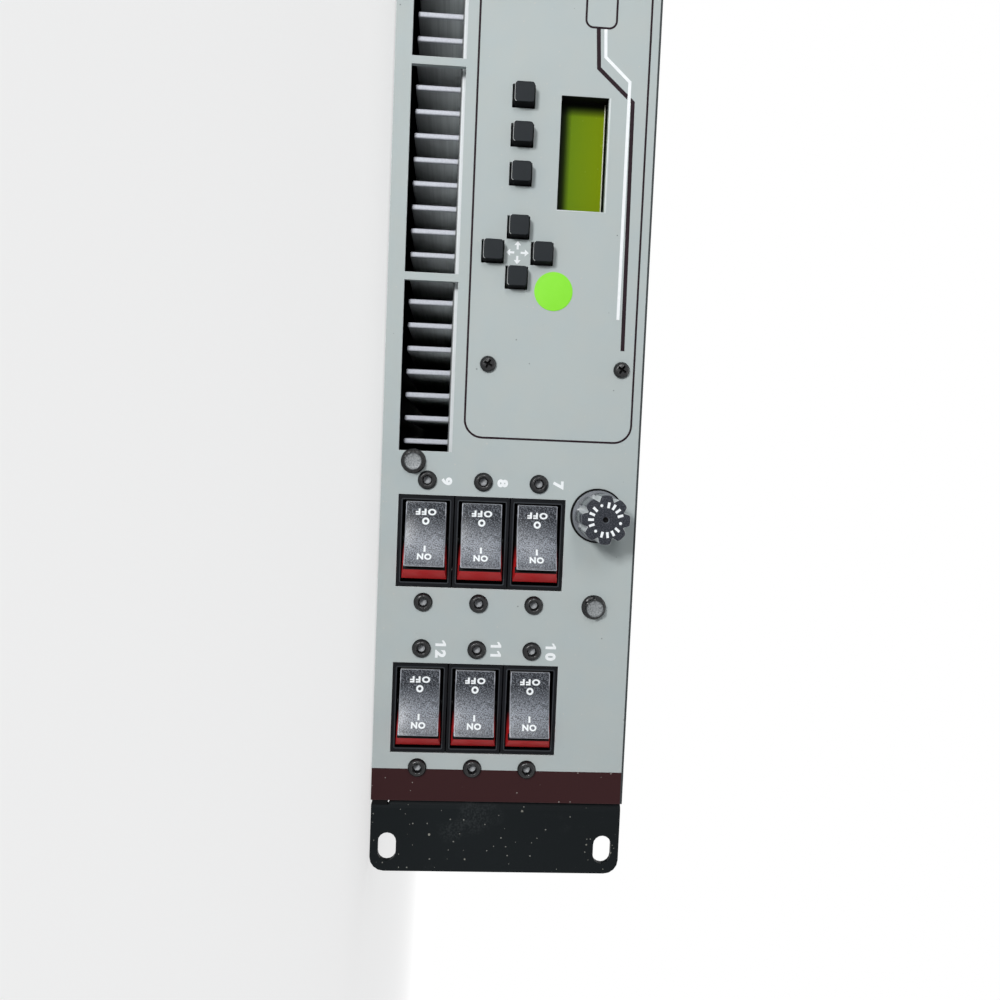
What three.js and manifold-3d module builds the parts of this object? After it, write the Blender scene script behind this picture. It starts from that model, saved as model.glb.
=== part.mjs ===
// A two-unit rack dimmer pack with twelve channels.
// Lengths are millimetres. X runs along the front from left to right, Y from the panel's face
// towards the rear, and Z up. Pieces are drawn from the middle of the panel's face, and the
// whole dimmer is set at the end to stand on Z = 0 with the origin under its middle.

import * as THREE from 'three';
import { mergeVertices } from 'three/addons/utils/BufferGeometryUtils.js';
import Module from 'manifold-3d';

const wasm = await Module();
wasm.setup();

// Rack format
const rackSpaceHeight = 44.45;
const rackSpaces = 2;
const rackClearance = 0.8;
const overallWidth = 482.6;
const earReach = 24;
const bodyDepth = 394;
const rackSlotInset = 8.75;
const rackSlotEdge = 6.35;
const rackSlotLength = 10.2;
const rackSlotHeight = 6.3;
const earCorner = 5;
const earReliefLength = 0.2;
const earReliefHeight = 5.9;

// Sheet metal and the gaps between pieces
const panelThickness = 2;
const sideSheet = 2;
const coverSheet = 1.6;
const bendRadius = 1.2;
const lipHeight = 10;
const panelEndGap = 0.4;
const seat = 0.2;
const runningGap = 0.3;
const overrun = 1;

// Circuit breakers: two groups of three on each side of the middle. The gaps beside the groups
// are shares of the panel's half width that the breakers leave free.
const breakerPitch = 19.05;
const breakersInGroup = 3;
const groupLowEdge = 6.1;
const groupGapShare = 0.081;
const groupEndGapShare = 0.0764;
const breakerOpeningLength = 31.7;
const breakerBodyLength = 48.4;
const breakerBodyDepth = 52;
const breakerSideGap = 0.3;
const bezelSetback = 0.3;
const breakerScrewSpacing = 41.9;
const breakerScrewHole = 3.4;
const breakerScrewReach = 8;
const terminalLength = 6;
const terminalWidth = 8;
const terminalThickness = 1.2;
const terminalSpacing = 26;

// Rockers, drawn level about their pivot
const rockerThrow = 30;
const rockerPivotDepth = 7.75;
const rockerReach = 11;
const rockerFaceLength = 22.2;
const rockerBaseLength = 29;
const rockerEndHeight = 6.6;
const rockerHollow = 1.5;
const rockerCapThickness = 1.1;
const rockerCapWidth = 14;
const rockerBodyWidth = 15.1;
const rockerKeelLength = 8;
const rockerKeelDepth = 2.5;
const rockerPinRadius = 1.5;
const rockerPinLength = 18;
const rockerEndGap = 0.45;
const pocketFloorGap = 2;

// Vent windows and the heat sink behind them
const ventMiddleWidth = 67.5;
const ventWeb = 2.6;
const ventLowEdge = 5.6;
const ventHeight = 18;
const finCount = 24;
const finEndGap = 3.45;
const finShift = -0.7;
const finThickness = 1.8;
const finTipRise = 1.3;
const finRootDrop = 1.6;
const heatSinkBase = 6;
const heatSinkLength = 240;
const heatSinkSetback = 3;
const heatSinkLegGap = 0.9;
const heatSinkLeg = 5.2;
const heatSinkEndGap = 0.4;

// Display, its middle at a share of the half width between the breakers
const lcdXShare = -0.0791;
const lcdZ = 19.6;
const lcdWindowWidth = 37.4;
const lcdWindowHeight = 16;
const lcdFrameMargin = 5;
const lcdFrameDepth = 7.6;
const lcdFrameWall = 1.5;
const lcdFrameLip = 0.8;
const lcdGlassThickness = 2.4;
const lcdBoardWidth = 58;
const lcdBoardHeight = 32;
const lcdPostWidth = 5;

// Push keys: three in a row and four in a cross
const keyOpening = 7.7;
const keyWidth = 7.1;
const keyTopWidth = 6.4;
const keyCorner = 1.2;
const keyProud = 4;
const keySkirt = 3;
const keyTravel = 1.2;
const keyStemRadius = 1.75;
const keyStemEntry = 0.8;
const keyRowPitch = 12.7;
const keyRowXShare = -0.1282;
const keyRowZ = -1;
const keyCrossGap = 17.45;
const keyCrossArm = 8.3;
const switchWidth = 6.2;
const switchHeight = 3.5;

// Control board
const boardDepth = 14;
const boardThickness = 1.6;
const boardMargin = 12;
const boardLowMargin = 4.4;
const boardScrewXShare = 0.6325;
const boardScrewLowZ = -9.4;
const boardScrewHighZ = 36.1;
const boardPostRadius = 3;
const boardScrewHole = 3.6;
const processorWidth = 16;
const processorHeight = 3;

// Fuse holder
const fuseInset = 10.85;
const fuseZ = 30.3;
const fuseFlangeRadius = 9.4;
const fuseFlangeThickness = 2;
const fuseBarrelRadius = 6.3;
const fuseBarrelLength = 36;
const fuseBoreRadius = 4.9;
const fuseNutRadius = 8.6;
const fuseNutThickness = 4;
const fuseKnobRadius = 8.1;
const fuseKnobFlute = 0.9;
const fuseKnobLobes = 8;
const fuseKnobLength = 14.6;
const fuseKnobChamfer = 1.1;
const fuseDimpleRadius = 2.2;
const fuseDimpleDepth = 1.2;
const fuseStemRadius = 4.5;
const fuseStemLength = 11;
const fuseGlassRadius = 3;
const fuseCapRadius = 3.2;
const fuseCapLength = 6;
const fuseLength = 31.8;
const fuseContactLength = 8;

// Panel screws: the low pair enters the heat sink's legs, the high pair a tab of the top cover
const panelScrewHole = 4.4;
const panelScrewReach = 5.2;
const panelScrewLowEdge = 10.7;
const panelScrewHighEdge = 13.5;
const panelTabWidth = 14;
const panelTabHeight = 19;

// Power stage on the heat sink
const moduleColumns = 2;
const moduleRows = 3;
const moduleWidth = 28;
const moduleLength = 34;
const moduleHeight = 12;
const powerStageGap = 8;
const powerStageSideEdge = 15.45;
const powerStageEndEdge = 7;
const powerStageBreakerGap = 8;

// Filter chokes in the two side bays
const chokeRadius = 22;
const chokeHoleRadius = 8;
const chokeHeight = 26;
const chokeCorner = 7;
const chokeColumns = 2;
const chokeRows = 3;
const chokeColumnGap = 3;
const chokeRowGap = 26;
const chokePlateThickness = 2;
const chokePlateMargin = 2;

// Fans at the rear
const fanSize = 60;
const fanDepth = 25;
const fanBoreRadius = 28.4;
const fanRotorGap = 1;
const fanHubRadius = 12;
const fanHubDepth = 17;
const fanBlades = 7;
const fanBladeThickness = 1.4;
const fanBladeChord = 15;
const fanBladePitch = 40;
const fanBladeRoot = 2;
const fanSpindleRadius = 1.5;
const fanSpindleLength = 12;
const fanMotorDepth = 4;
const fanStrutWidth = 4;
const fanStripGap = 5;
const fanZ = -2;
const grilleSlots = 5;
const grillePitch = 9.6;
const grilleSlotHeight = 5.6;
const grilleMargin = 2;
const grilleBridge = 5;

// Terminals, transformer and cable entries at the rear
const barrierLength = 84;
const barrierDepth = 30;
const barrierBase = 8;
const barrierWall = 2;
const barrierHeight = 20;
const barrierPoles = 8;
const barrierFanGap = 2;
const controlStripWidth = 42;
const controlStripHeight = 12;
const controlStripDepth = 14;
const controlStripProud = 1.5;
const controlStripPoles = 7;
const controlStripPort = 3;
const controlStripFlange = 2;
const controlStripZ = 20;
const transformerWidth = 46;
const transformerDepth = 38;
const transformerHeight = 38;
const transformerCoreDepth = 20;
const transformerCoilInset = 7;
const bushingOffset = 12;
const bushingZ = -2;
const bushingBoreRadius = 12;
const bushingWall = 2;
const bushingFlange = 3;
const bushingFlangeThickness = 2.4;
const bushingReach = 9;

// Roundness of arcs and turned pieces, in steps
const arcSteps = 2;
const hollowSteps = 3;
const holeSteps = 8;
const turnSteps = 20;
const lobeSteps = 6;

// Sizes that follow from those above
const panelHeight = rackSpaces * rackSpaceHeight - rackClearance;
const top = panelHeight / 2;
const bottom = -top;
const sideOuterX = overallWidth / 2 - earReach;
const sideInnerX = sideOuterX - sideSheet;
const panelEndX = sideInnerX - panelEndGap;
const sheetEndX = sideInnerX - seat;
const panelBack = panelThickness + seat;
const rearFace = bodyDepth;
const rearInside = rearFace - coverSheet;
const floorInside = bottom + coverSheet;
const coverInside = top - coverSheet;
const rackSlotX = overallWidth / 2 - rackSlotInset;
const rackSlotZ = rackSpaces * rackSpaceHeight / 2 - rackSlotEdge;
const panelFreeWidth = sideInnerX - 2 * breakerBodyLength;
const groupOuterX = sideInnerX - groupEndGapShare * panelFreeWidth - breakerBodyLength / 2;
const groupInnerX = groupOuterX - groupGapShare * panelFreeWidth - breakerBodyLength;
const innerHalf = groupInnerX - breakerBodyLength / 2;
const groupHeight = breakersInGroup * breakerPitch;
const groupZ = bottom + groupLowEdge + groupHeight / 2;
const ventLowZ = bottom + ventLowEdge;
const ventHighZ = ventLowZ + ventHeight;
const heatSinkFront = panelThickness + heatSinkSetback;
const heatSinkBack = heatSinkFront + heatSinkLength;
const heatSinkUnderside = ventHighZ - finRootDrop;
const heatSinkTop = heatSinkUnderside + heatSinkBase;
const legOuterX = innerHalf - heatSinkEndGap;
const legInnerX = legOuterX - heatSinkLeg;
const legMiddleX = (legInnerX + legOuterX) / 2;
const ventEndX = legInnerX - heatSinkLegGap;
const ventSideWidth = ventEndX - ventWeb - ventMiddleWidth / 2;
const finPitch = 2 * (legInnerX - finEndGap) / (finCount - 1);
const panelScrewLowZ = bottom + panelScrewLowEdge;
const panelScrewHighX = groupInnerX + breakerScrewSpacing / 2;
const panelScrewHighZ = top - panelScrewHighEdge;
const lcdX = lcdXShare * innerHalf;
const keyRowX = keyRowXShare * innerHalf;
const keyCrossX = keyRowX + keyRowPitch + keyCrossGap + keyCrossArm;
const switchFront = boardDepth - switchHeight;
const keyCrossZ = keyRowZ;
const boardScrewX = boardScrewXShare * innerHalf;
const fuseX = groupInnerX - fuseInset;
const fuseKnobBase = -(fuseFlangeThickness + runningGap);
const fuseKnobFront = fuseKnobBase - fuseKnobLength;
const frontReach = -fuseKnobFront;
const rearReach = rearFace + bushingFlangeThickness + seat;
const breakerEnd = breakerBodyDepth + terminalLength;
const powerStageStart = breakerEnd + powerStageBreakerGap;
const firingBoardWidth = legOuterX - powerStageGap / 2 - powerStageSideEdge;
const firingBoardLength = heatSinkBack - powerStageEndEdge - powerStageStart;
const modulePitchX = firingBoardWidth / moduleColumns;
const modulePitchY = firingBoardLength / moduleRows;
const fanX = controlStripWidth / 2 + controlStripFlange + fanStripGap + fanSize / 2;
const fanFront = rearInside - seat - fanDepth;
const sideBayX = (legOuterX + sheetEndX - coverSheet) / 2;
const bushingX = sideBayX + bushingOffset;
const barrierY = fanFront - barrierFanGap - barrierDepth / 2;
const chokePitchX = 2 * chokeRadius + chokeColumnGap;
const chokePitchY = 2 * chokeRadius + chokeRowGap;
const chokeBayY = (breakerEnd + barrierY - barrierDepth / 2) / 2;
const transformerY = (heatSinkBack + fanFront) / 2;

// Makes a closed geometry into a solid that can be joined and cut.
function solid(geometry) {
  const bare = geometry.index ? geometry.clone() : geometry;
  bare.deleteAttribute('normal');
  bare.deleteAttribute('uv');
  const merged = mergeVertices(bare);
  const corners = merged.index.array;
  const triangles = [];
  for (let i = 0; i < corners.length; i += 3) {
    const [a, b, c] = [corners[i], corners[i + 1], corners[i + 2]];
    if (a !== b && b !== c && c !== a) triangles.push(a, b, c);
  }
  const mesh = new wasm.Mesh({
    numProp: 3,
    vertProperties: new Float32Array(merged.attributes.position.array),
    triVerts: new Uint32Array(triangles),
  });
  return new wasm.Manifold(mesh);
}

// Gives a solid back as a geometry for a mesh.
function geometryOf(body) {
  const mesh = body.getMesh();
  const geometry = new THREE.BufferGeometry();
  geometry.setAttribute('position', new THREE.BufferAttribute(mesh.vertProperties, 3));
  geometry.setIndex(new THREE.BufferAttribute(mesh.triVerts, 1));
  const faceted = geometry.toNonIndexed();
  faceted.computeVertexNormals();
  return faceted;
}

// A block between two corners.
function block(x0, x1, y0, y1, z0, z1) {
  const geometry = new THREE.BoxGeometry(x1 - x0, y1 - y0, z1 - z0);
  geometry.translate((x0 + x1) / 2, (y0 + y1) / 2, (z0 + z1) / 2);
  return solid(geometry);
}

// An outline drawn in X and Z, as seen from the front, run from y0 back to y1.
function frontPrism(outline, y0, y1, steps = arcSteps) {
  const geometry = new THREE.ExtrudeGeometry(outline, {
    depth: y1 - y0,
    bevelEnabled: false,
    curveSegments: steps,
  });
  geometry.rotateX(Math.PI / 2);
  geometry.translate(0, y1, 0);
  return solid(geometry);
}

// An outline drawn in X and Y, as seen from above, run from z0 up to z1.
function planPrism(outline, z0, z1, steps = arcSteps) {
  const geometry = new THREE.ExtrudeGeometry(outline, {
    depth: z1 - z0,
    bevelEnabled: false,
    curveSegments: steps,
  });
  geometry.translate(0, 0, z0);
  return solid(geometry);
}

// A profile of [radius, y] points turned about a front-to-back axis through x and z.
function turned(points, x, z, steps = turnSteps) {
  const profile = points.map(([radius, y]) => new THREE.Vector2(radius, y));
  const geometry = new THREE.LatheGeometry(profile, steps);
  geometry.translate(x, 0, z);
  return solid(geometry);
}

// A round rod or hole along Y.
function rod(x, z, radius, y0, y1, steps = holeSteps) {
  const geometry = new THREE.CylinderGeometry(radius, radius, y1 - y0, steps);
  geometry.translate(x, (y0 + y1) / 2, z);
  return solid(geometry);
}

// A closed outline through straight stretches.
function polygon(points) {
  return new THREE.Shape(points.map(([x, y]) => new THREE.Vector2(x, y)));
}

// A rectangle about a middle point, with round corners.
function roundedRectangle(x, y, width, height, radius) {
  const left = x - width / 2;
  const right = x + width / 2;
  const low = y - height / 2;
  const high = y + height / 2;
  const outline = new THREE.Shape();
  outline.moveTo(left + radius, low);
  outline.absarc(right - radius, low + radius, radius, -Math.PI / 2, 0, false);
  outline.absarc(right - radius, high - radius, radius, 0, Math.PI / 2, false);
  outline.absarc(left + radius, high - radius, radius, Math.PI / 2, Math.PI, false);
  outline.absarc(left + radius, low + radius, radius, Math.PI, Math.PI * 3 / 2, false);
  outline.closePath();
  return outline;
}

// Turns a piece that was drawn on the right into its mirror image on the left.
function mirrored(body) {
  return body.mirror([1, 0, 0]);
}

// Joins a piece with its own mirror image.
function bothSides(body) {
  return body.add(mirrored(body));
}

const black = new THREE.MeshStandardMaterial({ color: 0x1d2022, roughness: 0.5, metalness: 0.1 });
const panelGrey = new THREE.MeshStandardMaterial({ color: 0xafb7b7, roughness: 0.6, metalness: 0.1 });
const zincSheet = new THREE.MeshStandardMaterial({ color: 0xb4b8ba, roughness: 0.4, metalness: 0.8 });
const aluminium = new THREE.MeshStandardMaterial({ color: 0xd2d5da, roughness: 0.35, metalness: 0.9 });
const phenolic = new THREE.MeshStandardMaterial({ color: 0x17191b, roughness: 0.6, metalness: 0 });
const rockerRed = new THREE.MeshStandardMaterial({ color: 0xc22a2a, roughness: 0.4, metalness: 0 });
const keyBlack = new THREE.MeshStandardMaterial({ color: 0x2b2d30, roughness: 0.55, metalness: 0 });
const boardGreen = new THREE.MeshStandardMaterial({ color: 0x1f5a36, roughness: 0.5, metalness: 0 });
const lcdGreen = new THREE.MeshStandardMaterial({ color: 0x7f9a1c, roughness: 0.2, metalness: 0 });
const copper = new THREE.MeshStandardMaterial({ color: 0xa8602c, roughness: 0.4, metalness: 0.7 });
const clearGlass = new THREE.MeshStandardMaterial({ color: 0xd8e4e4, roughness: 0.1, metalness: 0.2 });
const terminalGreen = new THREE.MeshStandardMaterial({ color: 0x2f7f4b, roughness: 0.5, metalness: 0 });

const dimmer = new THREE.Group();

// Adds a named piece to the dimmer, or to one of its groups.
function place(name, body, material, parent = dimmer) {
  const mesh = new THREE.Mesh(geometryOf(body), material);
  mesh.name = name;
  parent.add(mesh);
  return mesh;
}

// The places of the seven keys, as [name, x, z].
const keyPlaces = [
  ['key_menu_left', keyRowX - keyRowPitch, keyRowZ],
  ['key_menu_middle', keyRowX, keyRowZ],
  ['key_menu_right', keyRowX + keyRowPitch, keyRowZ],
  ['key_arrow_left', keyCrossX - keyCrossArm, keyCrossZ],
  ['key_arrow_right', keyCrossX + keyCrossArm, keyCrossZ],
  ['key_arrow_down', keyCrossX, keyCrossZ - keyCrossArm],
  ['key_arrow_up', keyCrossX, keyCrossZ + keyCrossArm],
];

// The middle of each breaker group, from left to right.
const groupPlaces = [-groupOuterX, -groupInnerX, groupInnerX, groupOuterX];

// The height of a breaker in its group, counted down from the top one.
function breakerZ(row) {
  return groupZ + ((breakersInGroup - 1) / 2 - row) * breakerPitch;
}

// The front panel: a flat sheet with all its openings.
function frontPanel() {
  let panel = block(-panelEndX, panelEndX, 0, panelThickness, bottom, top);
  const cut = (x, z, width, height) => block(
    x - width / 2, x + width / 2, -overrun, panelThickness + overrun, z - height / 2, z + height / 2);
  const hole = (x, z, diameter) => rod(x, z, diameter / 2, -overrun, panelThickness + overrun);
  const cuts = [];
  for (const x of groupPlaces) {
    cuts.push(cut(x, groupZ, breakerOpeningLength, groupHeight));
    for (let row = 0; row < breakersInGroup; row += 1) {
      cuts.push(hole(x - breakerScrewSpacing / 2, breakerZ(row), breakerScrewHole));
      cuts.push(hole(x + breakerScrewSpacing / 2, breakerZ(row), breakerScrewHole));
    }
  }
  const ventZ = (ventLowZ + ventHighZ) / 2;
  const ventSideX = ventEndX - ventSideWidth / 2;
  cuts.push(cut(0, ventZ, ventMiddleWidth, ventHeight));
  cuts.push(bothSides(cut(ventSideX, ventZ, ventSideWidth, ventHeight)));
  cuts.push(cut(lcdX, lcdZ, lcdWindowWidth, lcdWindowHeight));
  for (const [, x, z] of keyPlaces) cuts.push(cut(x, z, keyOpening, keyOpening));
  cuts.push(bothSides(hole(boardScrewX, boardScrewLowZ, boardScrewHole)));
  cuts.push(bothSides(hole(boardScrewX, boardScrewHighZ, boardScrewHole)));
  cuts.push(bothSides(hole(legMiddleX, panelScrewLowZ, panelScrewHole)));
  cuts.push(bothSides(hole(panelScrewHighX, panelScrewHighZ, panelScrewHole)));
  cuts.push(rod(fuseX, fuseZ, fuseBarrelRadius + runningGap, -overrun, panelThickness + overrun, turnSteps));
  for (const piece of cuts) panel = panel.subtract(piece);
  return panel;
}

// The right side sheet, bent outward at the front into the rack ear with its two slots. A
// relief cut with a slanted end frees the bend at its low end.
function rightSide() {
  const earFront = panelThickness;
  const earBack = earFront + sideSheet;
  const earEndX = overallWidth / 2;
  const outsideBend = bendRadius + sideSheet;
  const outline = new THREE.Shape();
  outline.moveTo(sideInnerX, rearFace);
  outline.lineTo(sideInnerX, earFront + outsideBend);
  outline.absarc(sideInnerX + outsideBend, earFront + outsideBend, outsideBend, Math.PI, Math.PI * 3 / 2, false);
  outline.lineTo(earEndX, earFront);
  outline.lineTo(earEndX, earBack);
  outline.lineTo(sideOuterX + bendRadius, earBack);
  outline.absarc(sideOuterX + bendRadius, earBack + bendRadius, bendRadius, Math.PI * 3 / 2, Math.PI, true);
  outline.lineTo(sideOuterX, rearFace);
  outline.closePath();
  let side = planPrism(outline, bottom, top);
  const cornerStart = earEndX - earCorner;
  for (const end of [-1, 1]) {
    const corner = new THREE.Shape();
    const edge = end * top;
    const arcZ = edge - end * earCorner;
    corner.moveTo(cornerStart, edge + end * overrun);
    corner.lineTo(cornerStart, edge);
    corner.absarc(cornerStart, arcZ, earCorner, end * Math.PI / 2, 0, end > 0);
    corner.lineTo(earEndX + overrun, arcZ);
    corner.lineTo(earEndX + overrun, edge + end * overrun);
    corner.closePath();
    side = side.subtract(frontPrism(corner, earFront - overrun, earBack + overrun));
    const slot = roundedRectangle(
      rackSlotX, end * rackSlotZ, rackSlotLength, rackSlotHeight, rackSlotHeight / 2);
    side = side.subtract(frontPrism(slot, earFront - overrun, earBack + overrun));
  }
  const reliefStart = sideInnerX - overrun;
  const reliefEnd = sideOuterX + earReliefLength;
  const relief = new THREE.Shape();
  relief.moveTo(reliefStart, bottom - overrun);
  relief.lineTo(reliefEnd, bottom - overrun);
  relief.lineTo(reliefEnd, bottom + earReliefHeight);
  relief.lineTo(reliefStart, bottom + earReliefHeight + reliefEnd - reliefStart);
  relief.closePath();
  return side.subtract(frontPrism(relief, earFront - overrun, earBack + outsideBend));
}

// A shallow tray: a flat sheet between the sides with a lip along each of them. It is drawn as
// a floor, from the panel's back to the rear face.
function tray() {
  const lipInnerX = sheetEndX - coverSheet;
  const lipTop = floorInside + lipHeight;
  const outline = new THREE.Shape();
  outline.moveTo(-sheetEndX, lipTop);
  outline.lineTo(-sheetEndX, bottom + bendRadius);
  outline.absarc(-sheetEndX + bendRadius, bottom + bendRadius, bendRadius, Math.PI, Math.PI * 3 / 2, false);
  outline.absarc(sheetEndX - bendRadius, bottom + bendRadius, bendRadius, -Math.PI / 2, 0, false);
  outline.lineTo(sheetEndX, lipTop);
  outline.lineTo(lipInnerX, lipTop);
  outline.lineTo(lipInnerX, floorInside);
  outline.lineTo(-lipInnerX, floorInside);
  outline.lineTo(-lipInnerX, lipTop);
  outline.closePath();
  return frontPrism(outline, panelBack, rearFace);
}

// The top cover: the same tray turned over, with two tabs that take the high panel screws.
function topCover() {
  const cover = tray().mirror([0, 0, 1]);
  let tab = block(
    panelScrewHighX - panelTabWidth / 2, panelScrewHighX + panelTabWidth / 2,
    panelBack, panelBack + coverSheet, coverInside - panelTabHeight, coverInside + coverSheet / 2);
  tab = tab.subtract(rod(
    panelScrewHighX, panelScrewHighZ, panelScrewHole / 2, panelBack - overrun, panelBack + coverSheet + overrun));
  return cover.add(bothSides(tab));
}

// The heat sink: an extruded comb of fins under a flat base, on two legs that reach the floor.
function heatSink() {
  const tips = ventLowZ + finTipRise;
  const outline = new THREE.Shape();
  const legFoot = floorInside + seat;
  const firstFin = finShift - (finCount - 1) / 2 * finPitch;
  outline.moveTo(-legOuterX, heatSinkTop);
  outline.lineTo(-legOuterX, legFoot);
  outline.lineTo(-legInnerX, legFoot);
  outline.lineTo(-legInnerX, heatSinkUnderside);
  for (let fin = 0; fin < finCount; fin += 1) {
    const x = firstFin + fin * finPitch;
    outline.lineTo(x - finThickness / 2, heatSinkUnderside);
    outline.lineTo(x - finThickness / 2, tips);
    outline.lineTo(x + finThickness / 2, tips);
    outline.lineTo(x + finThickness / 2, heatSinkUnderside);
  }
  outline.lineTo(legInnerX, heatSinkUnderside);
  outline.lineTo(legInnerX, legFoot);
  outline.lineTo(legOuterX, legFoot);
  outline.lineTo(legOuterX, heatSinkTop);
  outline.closePath();
  const comb = frontPrism(outline, heatSinkFront, heatSinkBack);
  const boss = block(
    legInnerX, legOuterX, panelBack, heatSinkFront + overrun,
    panelScrewLowZ - heatSinkLeg, panelScrewLowZ + heatSinkLeg);
  const screwHole = rod(
    legMiddleX, panelScrewLowZ, panelScrewHole / 2 - runningGap, panelBack - overrun,
    heatSinkFront + panelScrewReach);
  return comb.add(bothSides(boss)).subtract(bothSides(screwHole));
}

// A point of the level rocker, turned about its pivot. The face looks towards -Y.
function turnedPoint(x, y, degrees) {
  const angle = THREE.MathUtils.degToRad(degrees);
  return [x * Math.cos(angle) - y * Math.sin(angle), x * Math.sin(angle) + y * Math.cos(angle)];
}

// One circuit breaker about its own middle: a body behind the panel with a bezel that fills
// its share of the opening, and a pocket that the rocker swings in.
function breakerBody() {
  const halfWidth = breakerPitch / 2 - breakerSideGap / 2;
  const back = breakerBodyDepth;
  const bezelHalf = breakerOpeningLength / 2 - breakerSideGap / 2;
  let body = block(-breakerBodyLength / 2, breakerBodyLength / 2, panelBack, back, -halfWidth, halfWidth);
  body = body.add(block(-bezelHalf, bezelHalf, bezelSetback, panelBack + overrun, -halfWidth, halfWidth));
  const halfThrow = rockerThrow / 2;
  const [faceX, faceY] = turnedPoint(rockerFaceLength / 2, -rockerReach, halfThrow);
  const [baseX, baseY] = turnedPoint(rockerBaseLength / 2, -rockerReach + rockerEndHeight, halfThrow);
  const mouthX = faceX + rockerEndGap;
  const mouthY = rockerPivotDepth + faceY;
  const wideX = baseX + rockerEndGap;
  const wideY = rockerPivotDepth + baseY;
  const floorY = rockerPivotDepth + rockerKeelLength / 2 + pocketFloorGap;
  const front = Math.min(mouthY, bezelSetback) - overrun;
  const pocket = planPrism(polygon([
    [-mouthX, front], [mouthX, front], [mouthX, mouthY], [wideX, wideY],
    [wideX, floorY], [-wideX, floorY], [-wideX, wideY], [-mouthX, mouthY],
  ]), -rockerBodyWidth / 2 - rockerEndGap, rockerBodyWidth / 2 + rockerEndGap);
  body = body.subtract(pocket);
  const pinHole = new THREE.CylinderGeometry(
    rockerPinRadius + runningGap, rockerPinRadius + runningGap, breakerPitch + overrun, holeSteps);
  pinHole.rotateX(Math.PI / 2);
  pinHole.translate(0, rockerPivotDepth, 0);
  body = body.subtract(solid(pinHole));
  for (const end of [-1, 1]) {
    const x = end * breakerScrewSpacing / 2;
    body = body.subtract(rod(x, 0, breakerScrewHole / 2, panelBack - overrun, panelBack + breakerScrewReach));
    const tabX = end * terminalSpacing / 2;
    body = body.add(block(
      tabX - terminalThickness / 2, tabX + terminalThickness / 2, back - overrun, back + terminalLength,
      -terminalWidth / 2, terminalWidth / 2));
  }
  return body;
}

// One rocker about its pivot, level: a red body with sloping ends, a hollow black face on top
// and a pin through both cheeks. The face looks towards -Y.
function rockerBody() {
  const half = rockerFaceLength / 2;
  const face = -rockerReach;
  const radius = (half * half + rockerHollow * rockerHollow) / (2 * rockerHollow);
  const arcY = face + rockerHollow - radius;
  const spread = Math.asin(half / radius);
  const hollowFrom = Math.PI / 2 + spread;
  const hollowTo = Math.PI / 2 - spread;
  const cap = new THREE.Shape();
  cap.moveTo(-half, face);
  cap.absarc(0, arcY, radius, hollowFrom, hollowTo, true);
  cap.lineTo(half, face + rockerHollow + rockerCapThickness);
  cap.lineTo(-half, face + rockerHollow + rockerCapThickness);
  cap.closePath();
  const shoulderY = face + rockerCapThickness;
  const slope = (rockerBaseLength / 2 - half) / rockerEndHeight;
  const shoulderX = half + slope * rockerCapThickness;
  const core = new THREE.Shape();
  core.moveTo(-shoulderX, shoulderY);
  core.absarc(0, arcY + rockerCapThickness, radius, hollowFrom, hollowTo, true);
  core.lineTo(shoulderX, shoulderY);
  core.lineTo(rockerBaseLength / 2, face + rockerEndHeight);
  core.lineTo(rockerKeelLength / 2, rockerKeelDepth);
  core.lineTo(-rockerKeelLength / 2, rockerKeelDepth);
  core.lineTo(-rockerBaseLength / 2, face + rockerEndHeight);
  core.closePath();
  const pin = new THREE.CylinderGeometry(rockerPinRadius, rockerPinRadius, rockerPinLength, holeSteps);
  pin.rotateX(Math.PI / 2);
  return planPrism(core, -rockerBodyWidth / 2, rockerBodyWidth / 2, hollowSteps)
    .add(planPrism(cap, -rockerCapWidth / 2, rockerCapWidth / 2, hollowSteps))
    .add(solid(pin));
}

// One key about its own middle: a cap that narrows towards its face, and a stem behind it.
function keyBody() {
  const skirtEnd = panelThickness + keySkirt;
  const outline = roundedRectangle(0, 0, keyWidth, keyWidth, keyCorner);
  const cap = new THREE.ExtrudeGeometry(outline, {
    depth: keyProud + skirtEnd,
    bevelEnabled: false,
    curveSegments: 2,
  });
  cap.rotateX(Math.PI / 2);
  cap.translate(0, skirtEnd, 0);
  const places = cap.attributes.position;
  const narrowing = keyTopWidth / keyWidth;
  for (let i = 0; i < places.count; i += 1) {
    if (places.getY(i) < 0) {
      places.setX(i, places.getX(i) * narrowing);
      places.setZ(i, places.getZ(i) * narrowing);
    }
  }
  const stem = rod(0, 0, keyStemRadius, skirtEnd - overrun, switchFront + keyStemEntry);
  return solid(cap).add(stem);
}

// The control board: four posts to the panel, a switch behind each key and a processor.
function controlBoard() {
  const halfWidth = boardScrewX + boardMargin;
  const back = boardDepth + boardThickness;
  let board = block(-halfWidth, halfWidth, boardDepth, back, boardScrewLowZ - boardLowMargin,
    boardScrewHighZ + boardLowMargin);
  for (const z of [boardScrewLowZ, boardScrewHighZ]) {
    const post = rod(boardScrewX, z, boardPostRadius, panelBack, boardDepth + boardThickness / 2);
    const hole = rod(boardScrewX, z, boardScrewHole / 2 - runningGap, panelBack - overrun, boardDepth);
    board = board.add(bothSides(post)).subtract(bothSides(hole));
  }
  for (const [, x, z] of keyPlaces) {
    board = board.add(block(
      x - switchWidth / 2, x + switchWidth / 2, switchFront, boardDepth + boardThickness / 2,
      z - switchWidth / 2, z + switchWidth / 2));
    board = board.subtract(rod(
      x, z, keyStemRadius + runningGap, switchFront - overrun, switchFront + keyStemEntry + keyTravel + runningGap));
  }
  const chip = block(
    lcdX - processorWidth / 2, lcdX + processorWidth / 2, back - overrun, back + processorHeight,
    lcdZ - processorWidth / 2, lcdZ + processorWidth / 2);
  return board.add(chip);
}

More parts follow.
